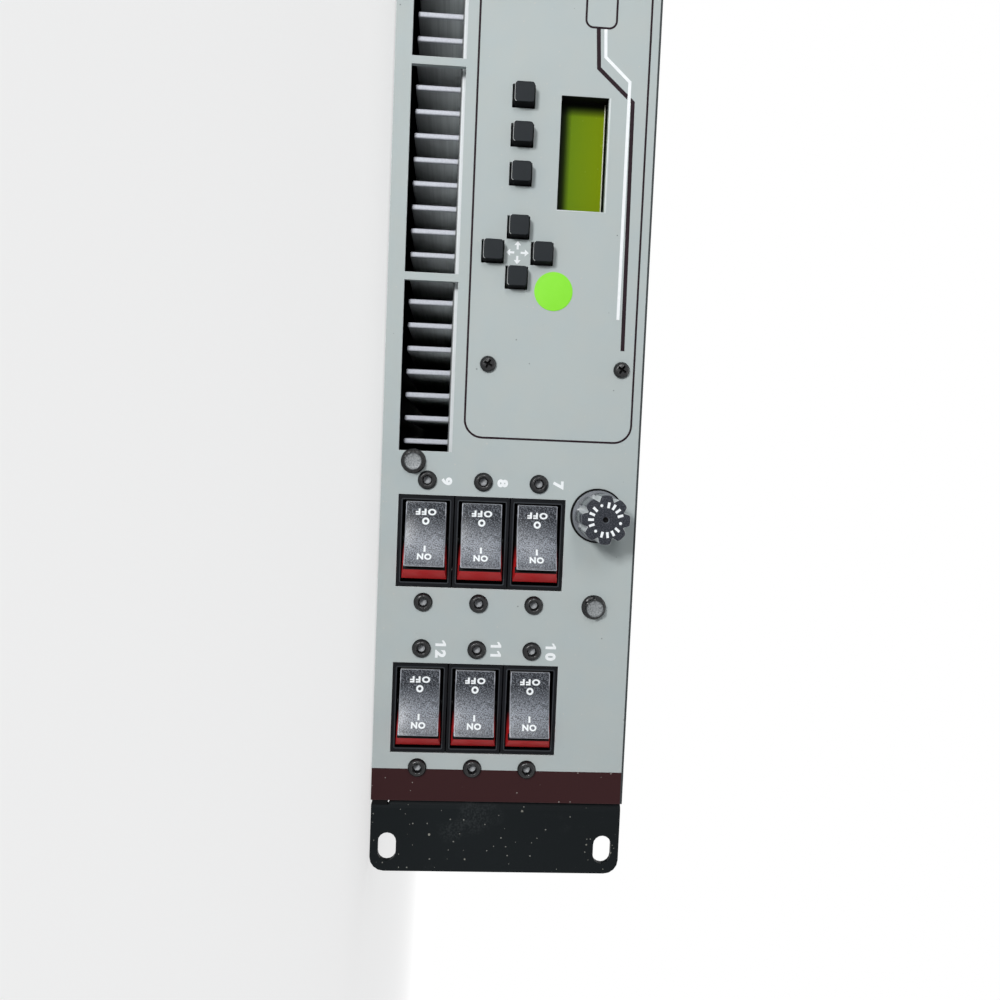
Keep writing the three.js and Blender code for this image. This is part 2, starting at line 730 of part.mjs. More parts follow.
// The display's frame with its own board, and four posts that stand it on the control board.
function lcdFrame() {
  const outerHalfX = lcdWindowWidth / 2 + lcdFrameMargin;
  const outerHalfZ = lcdWindowHeight / 2 + lcdFrameMargin;
  const boardFront = panelBack + lcdFrameDepth;
  let frame = block(
    lcdX - outerHalfX, lcdX + outerHalfX, panelBack, boardFront + boardThickness / 2,
    lcdZ - outerHalfZ, lcdZ + outerHalfZ);
  frame = frame.add(block(
    lcdX - lcdBoardWidth / 2, lcdX + lcdBoardWidth / 2, boardFront, boardFront + boardThickness,
    lcdZ - lcdBoardHeight / 2, lcdZ + lcdBoardHeight / 2));
  frame = frame.subtract(block(
    lcdX - lcdWindowWidth / 2 - lcdFrameLip, lcdX + lcdWindowWidth / 2 + lcdFrameLip,
    panelBack - overrun, boardFront - lcdFrameWall,
    lcdZ - lcdWindowHeight / 2 - lcdFrameLip, lcdZ + lcdWindowHeight / 2 + lcdFrameLip));
  for (const sx of [-1, 1]) {
    for (const sz of [-1, 1]) {
      const x = lcdX + sx * (lcdBoardWidth / 2 - lcdPostWidth / 2);
      const z = lcdZ + sz * (lcdBoardHeight / 2 - lcdPostWidth / 2);
      frame = frame.add(block(
        x - lcdPostWidth / 2, x + lcdPostWidth / 2, boardFront, boardDepth - seat,
        z - lcdPostWidth / 2, z + lcdPostWidth / 2));
    }
  }
  return frame;
}

// The display's glass, lying in its frame.
function lcdGlass() {
  const halfX = lcdWindowWidth / 2 + lcdFrameLip - seat;
  const halfZ = lcdWindowHeight / 2 + lcdFrameLip - seat;
  const back = panelBack + lcdFrameDepth - lcdFrameWall - seat;
  return block(lcdX - halfX, lcdX + halfX, back - lcdGlassThickness, back, lcdZ - halfZ, lcdZ + halfZ);
}

// The fuse holder: a flange on the panel, a barrel through it and a nut behind it.
function fuseHolder() {
  const barrelEnd = panelThickness + fuseBarrelLength;
  const nutBack = panelBack + fuseNutThickness;
  const boreEnd = barrelEnd - fuseFlangeThickness;
  const shell = turned([
    [fuseBoreRadius, -fuseFlangeThickness], [fuseFlangeRadius, -fuseFlangeThickness],
    [fuseFlangeRadius, -seat], [fuseBarrelRadius, -seat], [fuseBarrelRadius, barrelEnd],
    [0, barrelEnd], [0, boreEnd], [fuseBoreRadius, boreEnd], [fuseBoreRadius, -fuseFlangeThickness],
  ], fuseX, fuseZ);
  let nut = rod(fuseX, fuseZ, fuseNutRadius, panelBack, nutBack, 6);
  nut = nut.subtract(rod(fuseX, fuseZ, fuseBarrelRadius - seat, panelBack - overrun, nutBack + overrun, turnSteps));
  const contact = block(
    fuseX - terminalThickness / 2, fuseX + terminalThickness / 2, barrelEnd - seat,
    barrelEnd + fuseContactLength, fuseZ - terminalWidth / 4, fuseZ + terminalWidth / 4);
  return shell.add(nut).add(contact);
}

// The fuse cap: a lobed knob with a dimple, and a hollow stem that grips the fuse.
function fuseCap() {
  const outline = new THREE.Shape();
  const steps = fuseKnobLobes * lobeSteps;
  const crest = fuseKnobRadius - fuseKnobChamfer;
  for (let i = 0; i < steps; i += 1) {
    const angle = 2 * Math.PI * i / steps;
    const radius = crest - fuseKnobFlute * (1 - Math.cos(fuseKnobLobes * angle)) / 2;
    const point = [radius * Math.cos(angle), radius * Math.sin(angle)];
    if (i === 0) outline.moveTo(...point);
    else outline.lineTo(...point);
  }
  outline.closePath();
  const knob = new THREE.ExtrudeGeometry(outline, {
    depth: fuseKnobLength - 2 * fuseKnobChamfer,
    bevelEnabled: true,
    bevelSegments: 1,
    bevelSize: fuseKnobChamfer,
    bevelThickness: fuseKnobChamfer,
    curveSegments: 1,
  });
  knob.rotateX(Math.PI / 2);
  knob.translate(fuseX, fuseKnobBase - fuseKnobChamfer, fuseZ);
  const dimple = turned([
    [0, fuseKnobFront - overrun], [fuseDimpleRadius, fuseKnobFront - overrun],
    [fuseDimpleRadius, fuseKnobFront], [0, fuseKnobFront + fuseDimpleDepth],
  ], fuseX, fuseZ, holeSteps);
  const stemEnd = fuseKnobBase + fuseStemLength;
  const stem = rod(fuseX, fuseZ, fuseStemRadius, fuseKnobBase - overrun, stemEnd, turnSteps);
  const grip = rod(
    fuseX, fuseZ, fuseCapRadius + seat, fuseKnobBase - runningGap, stemEnd + overrun, turnSteps);
  return solid(knob).subtract(dimple).add(stem).subtract(grip);
}

// The glass fuse with its two metal end caps.
function fuseLink() {
  const start = fuseKnobBase;
  const end = start + fuseLength;
  return turned([
    [0, start], [fuseCapRadius, start], [fuseCapRadius, start + fuseCapLength],
    [fuseGlassRadius, start + fuseCapLength], [fuseGlassRadius, end - fuseCapLength],
    [fuseCapRadius, end - fuseCapLength], [fuseCapRadius, end], [0, end],
  ], fuseX, fuseZ, holeSteps);
}

// The right power stage: six modules on the heat sink, soldered under one firing board.
function powerStage() {
  const middleX = powerStageGap / 2 + firingBoardWidth / 2;
  const middleY = powerStageStart + firingBoardLength / 2;
  const foot = heatSinkTop + seat;
  const boardLow = foot + moduleHeight;
  let stage = block(
    middleX - firingBoardWidth / 2, middleX + firingBoardWidth / 2,
    powerStageStart, powerStageStart + firingBoardLength, boardLow, boardLow + boardThickness);
  for (let column = 0; column < moduleColumns; column += 1) {
    for (let row = 0; row < moduleRows; row += 1) {
      const x = middleX + (column - (moduleColumns - 1) / 2) * modulePitchX;
      const y = middleY + (row - (moduleRows - 1) / 2) * modulePitchY;
      stage = stage.add(block(
        x - moduleWidth / 2, x + moduleWidth / 2, y - moduleLength / 2, y + moduleLength / 2,
        foot, boardLow + boardThickness / 2));
    }
  }
  return stage;
}

// The right bank of six filter chokes: wound rings on a plate on the floor.
function chokeBank() {
  const foot = floorInside + seat;
  const plateTop = foot + chokePlateThickness;
  const halfX = (chokeColumns - 1) / 2 * chokePitchX + chokeRadius + chokePlateMargin;
  const halfY = (chokeRows - 1) / 2 * chokePitchY + chokeRadius + chokePlateMargin;
  let bank = block(sideBayX - halfX, sideBayX + halfX, chokeBayY - halfY, chokeBayY + halfY, foot, plateTop);
  const low = plateTop - chokePlateThickness / 2;
  const high = low + chokeHeight;
  const ring = new THREE.LatheGeometry([
    [chokeHoleRadius, low], [chokeRadius, low], [chokeRadius, high - chokeCorner],
    [chokeRadius - chokeCorner, high], [chokeHoleRadius, high], [chokeHoleRadius, low],
  ].map(([radius, height]) => new THREE.Vector2(radius, height)), turnSteps / 2);
  ring.rotateX(Math.PI / 2);
  for (let column = 0; column < chokeColumns; column += 1) {
    for (let row = 0; row < chokeRows; row += 1) {
      const x = sideBayX + (column - (chokeColumns - 1) / 2) * chokePitchX;
      const y = chokeBayY + (row - (chokeRows - 1) / 2) * chokePitchY;
      const copy = ring.clone();
      copy.translate(x, y, 0);
      bank = bank.add(solid(copy));
    }
  }
  return bank;
}

// The transformer: a block of laminations round a coil.
function controlTransformer() {
  const foot = floorInside + seat;
  const core = block(
    -transformerWidth / 2, transformerWidth / 2,
    transformerY - transformerCoreDepth / 2, transformerY + transformerCoreDepth / 2,
    foot, foot + transformerHeight);
  const coil = block(
    -transformerWidth / 2 + transformerCoilInset, transformerWidth / 2 - transformerCoilInset,
    transformerY - transformerDepth / 2, transformerY + transformerDepth / 2,
    foot + transformerCoilInset, foot + transformerHeight - transformerCoilInset);
  return core.add(coil);
}

// A barrier strip: a base with a wall between each two poles, standing on the floor.
function barrierStrip(x) {
  const foot = floorInside + seat;
  const start = x - barrierLength / 2;
  const pitch = (barrierLength - barrierWall) / barrierPoles;
  const outline = new THREE.Shape();
  outline.moveTo(start, foot);
  for (let wall = 0; wall <= barrierPoles; wall += 1) {
    const left = start + wall * pitch;
    outline.lineTo(left, wall === 0 ? foot : foot + barrierBase);
    outline.lineTo(left, foot + barrierHeight);
    outline.lineTo(left + barrierWall, foot + barrierHeight);
    outline.lineTo(left + barrierWall, wall === barrierPoles ? foot : foot + barrierBase);
  }
  outline.closePath();
  return frontPrism(outline, barrierY - barrierDepth / 2, barrierY + barrierDepth / 2);
}

// The strip for the control signal: a row of ports through the rear panel, with a flange inside.
function controlStrip() {
  const inside = rearInside - seat;
  const back = rearFace + controlStripProud;
  const halfX = controlStripWidth / 2;
  const halfZ = controlStripHeight / 2;
  const margin = controlStripFlange;
  let strip = block(-halfX, halfX, inside - controlStripDepth, back, controlStripZ - halfZ, controlStripZ + halfZ);
  strip = strip.add(block(
    -halfX - margin, halfX + margin, inside - controlStripFlange, inside,
    controlStripZ - halfZ - margin, controlStripZ + halfZ + margin));
  const pitch = controlStripWidth / controlStripPoles;
  for (let pole = 0; pole < controlStripPoles; pole += 1) {
    const x = (pole - (controlStripPoles - 1) / 2) * pitch;
    strip = strip.subtract(block(
      x - controlStripPort / 2, x + controlStripPort / 2, back - controlStripFlange, back + overrun,
      controlStripZ - controlStripPort, controlStripZ + controlStripPort));
  }
  return strip;
}

// The rear panel: a sheet with two side flanges, fan grilles and the entries for the wiring.
function rearPanel() {
  const endX = sheetEndX - coverSheet - seat;
  const low = floorInside + seat;
  const high = coverInside - seat;
  const flangeFront = rearInside - lipHeight;
  let panel = block(-endX, endX, rearInside, rearFace, low, high);
  panel = panel.add(bothSides(block(endX - coverSheet, endX, flangeFront, rearFace, low, high)));
  const from = rearInside - overrun;
  const to = rearFace + overrun;
  const slotRadius = grilleSlotHeight / 2;
  const reach = fanBoreRadius - grilleMargin;
  for (let slot = 0; slot < grilleSlots; slot += 1) {
    const rise = (slot - (grilleSlots - 1) / 2) * grillePitch;
    const length = Math.sqrt(reach * reach - rise * rise) - grilleBridge / 2;
    for (const side of [-1, 1]) {
      const slotX = fanX + side * (grilleBridge + length) / 2;
      const outline = roundedRectangle(slotX, fanZ + rise, length, grilleSlotHeight, slotRadius);
      panel = panel.subtract(bothSides(frontPrism(outline, from, to, 1)));
    }
  }
  const entry = bushingBoreRadius + bushingWall + seat;
  panel = panel.subtract(bothSides(rod(bushingX, bushingZ, entry, from, to, turnSteps)));
  const halfX = controlStripWidth / 2 + seat;
  const halfZ = controlStripHeight / 2 + seat;
  return panel.subtract(block(-halfX, halfX, from, to, controlStripZ - halfZ, controlStripZ + halfZ));
}

// A bushing in a cable entry, with a flange outside and a tapered skirt inside.
function cableBushing() {
  const flangeFront = rearFace + seat;
  const outer = bushingBoreRadius + bushingWall;
  return turned([
    [bushingBoreRadius, rearReach], [bushingBoreRadius, rearInside - bushingReach],
    [outer - bushingWall / 2, rearInside - bushingReach], [outer, rearInside],
    [outer, flangeFront], [outer + bushingFlange, flangeFront], [outer + bushingFlange, rearReach],
    [bushingBoreRadius, rearReach],
  ], bushingX, bushingZ);
}

// A fan's frame about its own axis: a square duct, with the motor's seat and spindle on struts
// at the side that faces the rear panel.
function fanFrame() {
  const back = rearInside - seat;
  const half = fanSize / 2;
  const seatFront = back - fanMotorDepth;
  let frame = block(-half, half, fanFront, back, -half, half);
  frame = frame.subtract(rod(0, 0, fanBoreRadius, fanFront - overrun, back + overrun, turnSteps));
  frame = frame.add(rod(0, 0, fanHubRadius, seatFront, back, turnSteps / 2));
  const strut = block(-half, half, back - fanMotorDepth / 2, back, -fanStrutWidth / 2, fanStrutWidth / 2);
  frame = frame.add(strut).add(strut.rotate([0, 90, 0]));
  return frame.add(rod(0, 0, fanSpindleRadius, seatFront - fanSpindleLength, seatFront + overrun));
}

// A fan's rotor about its own axis: a cup with pitched blades, bored for the spindle.
function fanRotor() {
  const back = rearInside - seat - fanMotorDepth - runningGap;
  const front = back - fanHubDepth;
  const bladeReach = fanBoreRadius - fanRotorGap;
  let rotor = rod(0, 0, fanHubRadius, front, back, turnSteps / 2);
  const blade = new THREE.BoxGeometry(bladeReach - fanHubRadius + fanBladeRoot, fanBladeThickness, fanBladeChord);
  blade.rotateX(THREE.MathUtils.degToRad(fanBladePitch));
  blade.translate((bladeReach + fanHubRadius - fanBladeRoot) / 2, (front + back) / 2, 0);
  for (let turn = 0; turn < fanBlades; turn += 1) {
    const copy = blade.clone();
    copy.rotateY(2 * Math.PI * turn / fanBlades);
    rotor = rotor.add(solid(copy));
  }
  const sweep = rod(0, 0, bladeReach, front, back, turnSteps);
  rotor = rotor.intersect(sweep);
  return rotor.subtract(rod(
    0, 0, fanSpindleRadius + runningGap, back - fanSpindleLength - runningGap, back + overrun));
}

// The sheet metal and the heat sink.
place('front_panel', frontPanel(), panelGrey);
place('right_side', rightSide(), black);
place('left_side', mirrored(rightSide()), black);
place('chassis_floor', tray(), black);
place('top_cover', topCover(), black);
place('rear_panel', rearPanel(), zincSheet);
place('heat_sink', heatSink(), aluminium);

const breaker = breakerBody();
const rocker = rockerBody();
groupPlaces.forEach((x, group) => {
  for (let row = 0; row < breakersInGroup; row += 1) {
    const number = group * breakersInGroup + row + 1;
    const body = place(`breaker_${number}`, breaker, phenolic);
    body.position.set(x, 0, breakerZ(row));
    const tilted = place(`rocker_${number}`, rocker, rockerRed);
    tilted.position.set(x, rockerPivotDepth, breakerZ(row));
    tilted.rotation.z = THREE.MathUtils.degToRad(-rockerThrow / 2);
  }
});

const key = keyBody();
for (const [name, x, z] of keyPlaces) {
  place(name, key, keyBlack).position.set(x, 0, z);
}
place('control_board', controlBoard(), boardGreen);
place('lcd_frame', lcdFrame(), black);
place('lcd_glass', lcdGlass(), lcdGreen);

place('fuse_holder', fuseHolder(), phenolic);
place('fuse_cap', fuseCap(), phenolic);
place('fuse_link', fuseLink(), clearGlass);

place('triac_board_right', powerStage(), boardGreen);
place('triac_board_left', mirrored(powerStage()), boardGreen);
place('choke_bank_right', chokeBank(), copper);
place('choke_bank_left', mirrored(chokeBank()), copper);
place('control_transformer', controlTransformer(), zincSheet);
place('supply_terminals', barrierStrip(-sideBayX), phenolic);
place('load_terminals', barrierStrip(sideBayX), phenolic);
place('control_terminals', controlStrip(), terminalGreen);
place('cable_bushing_right', cableBushing(), phenolic);
place('cable_bushing_left', mirrored(cableBushing()), phenolic);

const frame = fanFrame();
const rotor = fanRotor();
for (const [side, x] of [['left', -fanX], ['right', fanX]]) {
  place(`fan_frame_${side}`, frame, phenolic).position.set(x, 0, fanZ);
  place(`fan_rotor_${side}`, rotor, phenolic).position.set(x, 0, fanZ);
}

dimmer.position.set(0, (frontReach - rearReach) / 2, -bottom);

export default dimmer;
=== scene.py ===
"""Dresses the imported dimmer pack: finishes for its CAD nodes, finer rockers, keys and fuse cap,
screws, and the prints on its front. Lengths are metres, in the frame of the CAD model: X runs
along the front to the right, Y towards the rear, and Z up."""

import math

import bmesh
import bpy
from mathutils import Matrix, Vector


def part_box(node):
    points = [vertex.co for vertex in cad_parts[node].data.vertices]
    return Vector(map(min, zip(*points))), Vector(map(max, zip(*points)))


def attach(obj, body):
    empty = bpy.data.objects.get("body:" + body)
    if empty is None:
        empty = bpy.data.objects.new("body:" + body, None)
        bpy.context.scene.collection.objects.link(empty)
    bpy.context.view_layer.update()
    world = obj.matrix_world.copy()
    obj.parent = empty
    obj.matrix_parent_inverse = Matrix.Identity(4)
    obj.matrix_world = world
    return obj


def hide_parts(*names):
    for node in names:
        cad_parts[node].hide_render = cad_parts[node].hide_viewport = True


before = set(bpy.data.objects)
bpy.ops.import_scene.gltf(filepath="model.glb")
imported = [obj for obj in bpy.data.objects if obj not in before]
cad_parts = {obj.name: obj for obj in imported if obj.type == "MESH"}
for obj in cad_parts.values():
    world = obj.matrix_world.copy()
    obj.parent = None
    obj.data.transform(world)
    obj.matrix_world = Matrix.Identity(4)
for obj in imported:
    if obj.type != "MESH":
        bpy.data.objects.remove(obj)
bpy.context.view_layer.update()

MM = 0.001
ALMOST_NONE = 0.01 * MM

# Rockers, drawn level about their pivot
ROCKER_PIVOT_DEPTH = 7.75 * MM
ROCKER_REST_TILT = math.radians(-15)
ROCKER_REACH = 11 * MM
ROCKER_FACE_LENGTH = 22.2 * MM
ROCKER_BASE_LENGTH = 29 * MM
ROCKER_END_HEIGHT = 6.6 * MM
ROCKER_HOLLOW = 1.5 * MM
ROCKER_CAP_THICKNESS = 1.1 * MM
ROCKER_CAP_OVERHANG = 0.1 * MM
ROCKER_CAP_WIDTH = 13.7 * MM
ROCKER_NECK_INSET = 1.2 * MM
ROCKER_NECK_HEIGHT = 0.6 * MM
ROCKER_GROOVE_DEPTH = 1.8 * MM
ROCKER_GROOVE_LAND = 0.1 * MM
GROOVE_MARGIN = 0.1 * MM
ROCKER_BODY_WIDTH = 15.3 * MM
ROCKER_SWELL = 0.05 * MM
ROCKER_KEEL_LENGTH = 8 * MM
ROCKER_KEEL_DEPTH = 2.5 * MM
ROCKER_PIN_RADIUS = 1.5 * MM
ROCKER_PIN_LENGTH = 18 * MM
ROCKER_EDGE = 0.32 * MM
# Along the body from its pivot: painted shade darkens it fully up to the first place and fades
# out by the second
ROCKER_SHADE_TO = 2.5 * MM
ROCKER_RED_FROM = 8.5 * MM
FACE_STEPS = 20

# Raised lip round each rocker's pocket
POCKET_HALF_LENGTH = 14.05 * MM
POCKET_HALF_WIDTH = 8 * MM
LIP_WIDTH = 0.55 * MM
LIP_HEIGHT = 0.22 * MM
BEZEL_SETBACK = 0.3 * MM

# Marks on a rocker's face: each one's place as a share of the face, from the OFF end
OFF_SHARE = 0.155
RING_SHARE = 0.295
BAR_SHARE = 0.722
ON_SHARE = 0.845
MARK_HEIGHT = 2.2 * MM
OFF_WIDTH = 7.0 * MM
ON_WIDTH = 4.9 * MM
RING_RADIUS = 1.25 * MM
BAR_LENGTH = 2.1 * MM
MARK_STROKE = 0.68 * MM
MARK_WEIGHT = 0.05

# Breaker screws and numbers
BREAKER_SCREW_SPACING = 41.9 * MM
NUMBER_HEIGHT = 3.7 * MM
NUMBER_WEIGHT = 0.055
NUMBER_STRETCH = 1.12
NUMBER_PITCH = 3.15 * MM
NUMBER_RISE = 6.65 * MM
NUMBER_SHIFT = 0.2 * MM

# Display with its painted shade, and the thin trim of its window, whose rim carries a painted
# highlight and whose liner is painted shade
WINDOW_LIP = 0.6 * MM
WINDOW_BORDER = 0.42 * MM
WINDOW_STRIP = 0.3 * MM
WINDOW_SHADE_FROM = 0.25 * MM
WINDOW_SHADE_TO = 4.2 * MM
WINDOW_RIM = 0.6 * MM
RIM_PROUD = 0.06 * MM
RIM_DEPTH = 0.3 * MM
RIM_END = 0.3 * MM
WINDOW_LINER = 0.15 * MM
LINER_GAP = 0.01 * MM
LINER_SETBACK = 0.15 * MM
LINER_INSET = 0.05 * MM

# Dark plugs in the ears' relief cuts, as painted shade, and the seal under the rear
PLUG_INSET = 0.1 * MM
PLUG_PROUD = 0.15 * MM
PLUG_FRONT = 2.1 * MM
PLUG_BACK = 6.8 * MM
PLUG_LOW = 0.3 * MM
PLUG_HIGH = 5.7 * MM
SEAL_INSET = 3 * MM
SEAL_WIDTH = 2.2 * MM
SEAL_GAP = 0.05 * MM
SEAL_DROP = 0.35 * MM
SEAL_RISE = 1.6 * MM

# Keys
KEY_SKIRT = 4 * MM
KEY_CORNER = 1.0 * MM
KEY_TOP_EDGE = 0.3 * MM
KEY_DISH = 0.12 * MM
KEY_TOP_SHARE = 0.92

# Fuse holder, from its bore outwards
HOLDER_BORE = 4.9 * MM
HOLDER_BARREL = 6.3 * MM
HOLDER_FLOOR = 2 * MM
HOLDER_TAIL = 8 * MM
FLANGE_STEP_WIDTH = 0.9 * MM
FLANGE_STEP_DEPTH = 0.45 * MM
GASKET_RIM = 0.65 * MM
GASKET_DEPTH = 0.7 * MM
NUT_HALF_WIDTH = 7.482 * MM
NUT_THICKNESS = 4 * MM
NUT_GAP = 0.2 * MM

# Fuse cap. The turns of its marks are degrees.
KNOB_STEM_RADIUS = 4.5 * MM
KNOB_STEM_OVERLAP = 1 * MM
KNOB_LOBES = 8
KNOB_FLUTE = 1.7 * MM
KNOB_EDGE = 0.45 * MM
KNOB_EDGE_STEPS = 5
KNOB_LENGTH = 14.6 * MM
KNOB_DIMPLE = 1.2 * MM
KNOB_DIMPLE_RIM = 0.5 * MM
KNOB_DIMPLE_DEPTH = 1.1 * MM
KNOB_DOT_RADIUS = 0.5 * MM
KNOB_MARK_RADIUS = 4.9 * MM
KNOB_MARK_HEIGHT = 1.9 * MM
KNOB_MARK_WIDTH = 0.85 * MM
KNOB_MARK_TURN = -41
KNOB_MARK_START = 28
KNOB_MARK_PITCH = 21.5

# Cable bushings
BUSHING_BORE_INSET = 5 * MM
BUSHING_NECK_INSET = 3 * MM
BUSHING_FLANGE_THICKNESS = 2.4 * MM
BUSHING_TAPER = 1 * MM
BUSHING_TAPER_LENGTH = 9 * MM

# Screws. Their turns are degrees.
SOCKET_TURN = 17
CROSS_TURNS = (28, 33)
BOARD_SCREW_INSET = 12 * MM
BOARD_SCREW_RISE = 4.4 * MM
SINK_SCREW_INSET = 2.6 * MM
HEX_SCREW_RISE = 10.7 * MM
HEX_SCREW_DROP = 13.5 * MM
CASE_SCREW_INSET = 6 * MM
CASE_SCREW_SHARES = (0.12, 0.5, 0.9)
FAN_SCREW_REACH = 25 * MM
SCREW_PROUD = 0.02 * MM

# Side sheets
SIDE_THICKNESS = 2 * MM
SIDE_GAP = 0.2 * MM

# Paint of the panel, and the fins behind it
BAND_EDGE = 203.55 * MM
DARK_TOP_EDGE = 0.75 * MM
FIN_SETBACK = 5 * MM
FIN_BASE = 6 * MM
FIN_HEIGHT = 20 * MM
# Where the fins' painted shade ends, below the base plate
FIN_SHADE_GAP = 2 * MM
SAWN_FROM = 0.3 * MM
SAWN_TO = 1.2 * MM
PLATE_FADE = 0.3 * MM
# The band of painted shade on the base plate's front, just above its lower edge
FOOT_SHADE_FROM = 0.4 * MM
FOOT_SHADE_TO = 0.6 * MM

# Prints on the front. Places are X from the middle and Z from the panel's mid height, and those
# in brackets are millimetres.
PRINT_PROUD = 0.03 * MM
FRAME_LINE_X = 88 * MM
FRAME_LINE_LOW = -16.5 * MM
FRAME_LINE_HIGH = 40.5 * MM
FRAME_LINE_CORNER = 6 * MM
FRAME_LINE_WIDTH = 0.7 * MM
TITLE_LINE_WIDTH = 0.7 * MM
DARK_STRIPE = [(-48.9, 22.9), (-36.1, 23.6), (-25.7, 35.5), (56.7, 36.2)]
DARK_STRIPE_WIDTH = 1.35 * MM
PALE_STRIPE = [(-48.75, 25.3), (-39.8, 25.7), (-32.2, 34.2), (46.3, 34.1)]
PALE_STRIPE_WIDTH = 1.05 * MM
TITLE_BOX = (-84, -49.1, 18.65, 28.84)
TITLE_BOX_CORNER = 2.5 * MM
STICKER_PLACE = (37.9, 11.7)
STICKER_RADIUS = 6.5 * MM
STICKER_TOP_RADIUS = 6.4 * MM
STICKER_THICKNESS = 0.12 * MM
ARROW_REACH = 2.45 * MM
ARROW_SIZE = 2.8 * MM

# The floor: where its fade to white starts and ends, in metres from the middle, and how white
# it is inside that
FLOOR_FADE = (0.25, 1.0)
FLOOR_WHITE_SHARE = 0.6
FLOOR_GLOW = 1.07

# What comes more than once
BREAKERS = range(1, 13)
SIDES = {"left": -1, "right": 1}
KEYS = [f"key_menu_{place}" for place in ("left", "middle", "right")]
KEYS += [f"key_arrow_{way}" for way in ("left", "right", "down", "up")]

panel_low, panel_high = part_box("front_panel")
face_y = panel_low.y
mid_z = (panel_low.z + panel_high.z) / 2
screw_y = face_y - SCREW_PROUD


def middle(node):
    """The middle of a CAD node's box."""
    low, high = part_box(node)
    return (low + high) / 2


def window_edges():
    """The left, right, low and high edges of the display's window in the panel."""
    low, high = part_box("lcd_glass")
    inset = WINDOW_LIP
    return low.x + inset, high.x - inset, low.z + inset, high.z - inset


# Materials


def tint(red, green, blue):
    """A colour as it looks on the screen, 0 to 255, as the linear values of a shader."""
    linear = []
    for value in (red, green, blue):
        share = value / 255
        linear.append(share / 12.92 if share <= 0.04045 else ((share + 0.055) / 1.055) ** 2.4)
    return (*linear, 1)


class Wiring:
    """A node tree, to which nodes and links are added."""

    def __init__(self, tree):
        self.tree = tree

    def node(self, kind, **settings):
        made = self.tree.nodes.new(kind)
        for name, value in settings.items():
            setattr(made, name, value)
        return made

    def link(self, source, target):
        self.tree.links.new(source, target)

    def put(self, value, socket):
        """Links an output to a socket, or sets it to a number or a colour."""
        if isinstance(value, bpy.types.NodeSocket):
            self.link(value, socket)
        else:
            socket.default_value = value

    def sum(self, operation, first, second):
        """One step of arithmetic, with an output or a number on either side."""
        made = self.node("ShaderNodeMath", operation=operation)
        self.put(first, made.inputs[0])
        self.put(second, made.inputs[1])
        return made.outputs["Value"]

    def between(self, value, low, high, to_low, to_high, kind="LINEAR"):
        """Maps a value from one range to another, held at both ends."""
        ranger = self.node("ShaderNodeMapRange", interpolation_type=kind)
        names = ("From Min", "From Max", "To Min", "To Max")
        for name, number in zip(names, (low, high, to_low, to_high)):
            ranger.inputs[name].default_value = number
        self.link(value, ranger.inputs["Value"])
        return ranger.outputs["Result"]

    def background_rays(self):
        """1 for the rays that show a background: the camera's, and those off metal or through
        glass."""
        path = self.node("ShaderNodeLightPath").outputs
        seen = self.sum("MAXIMUM", path["Is Camera Ray"], path["Is Glossy Ray"])
        return self.sum("MAXIMUM", seen, path["Is Transmission Ray"])

    def surface(self, share, first, second, output):
        """Sends a mix of two shaders to the output."""
        mix = self.node("ShaderNodeMixShader")
        self.link(share, mix.inputs["Fac"])
        self.link(first, mix.inputs[1])
        self.link(second, mix.inputs[2])
        self.link(mix.outputs["Shader"], output.inputs["Surface"])


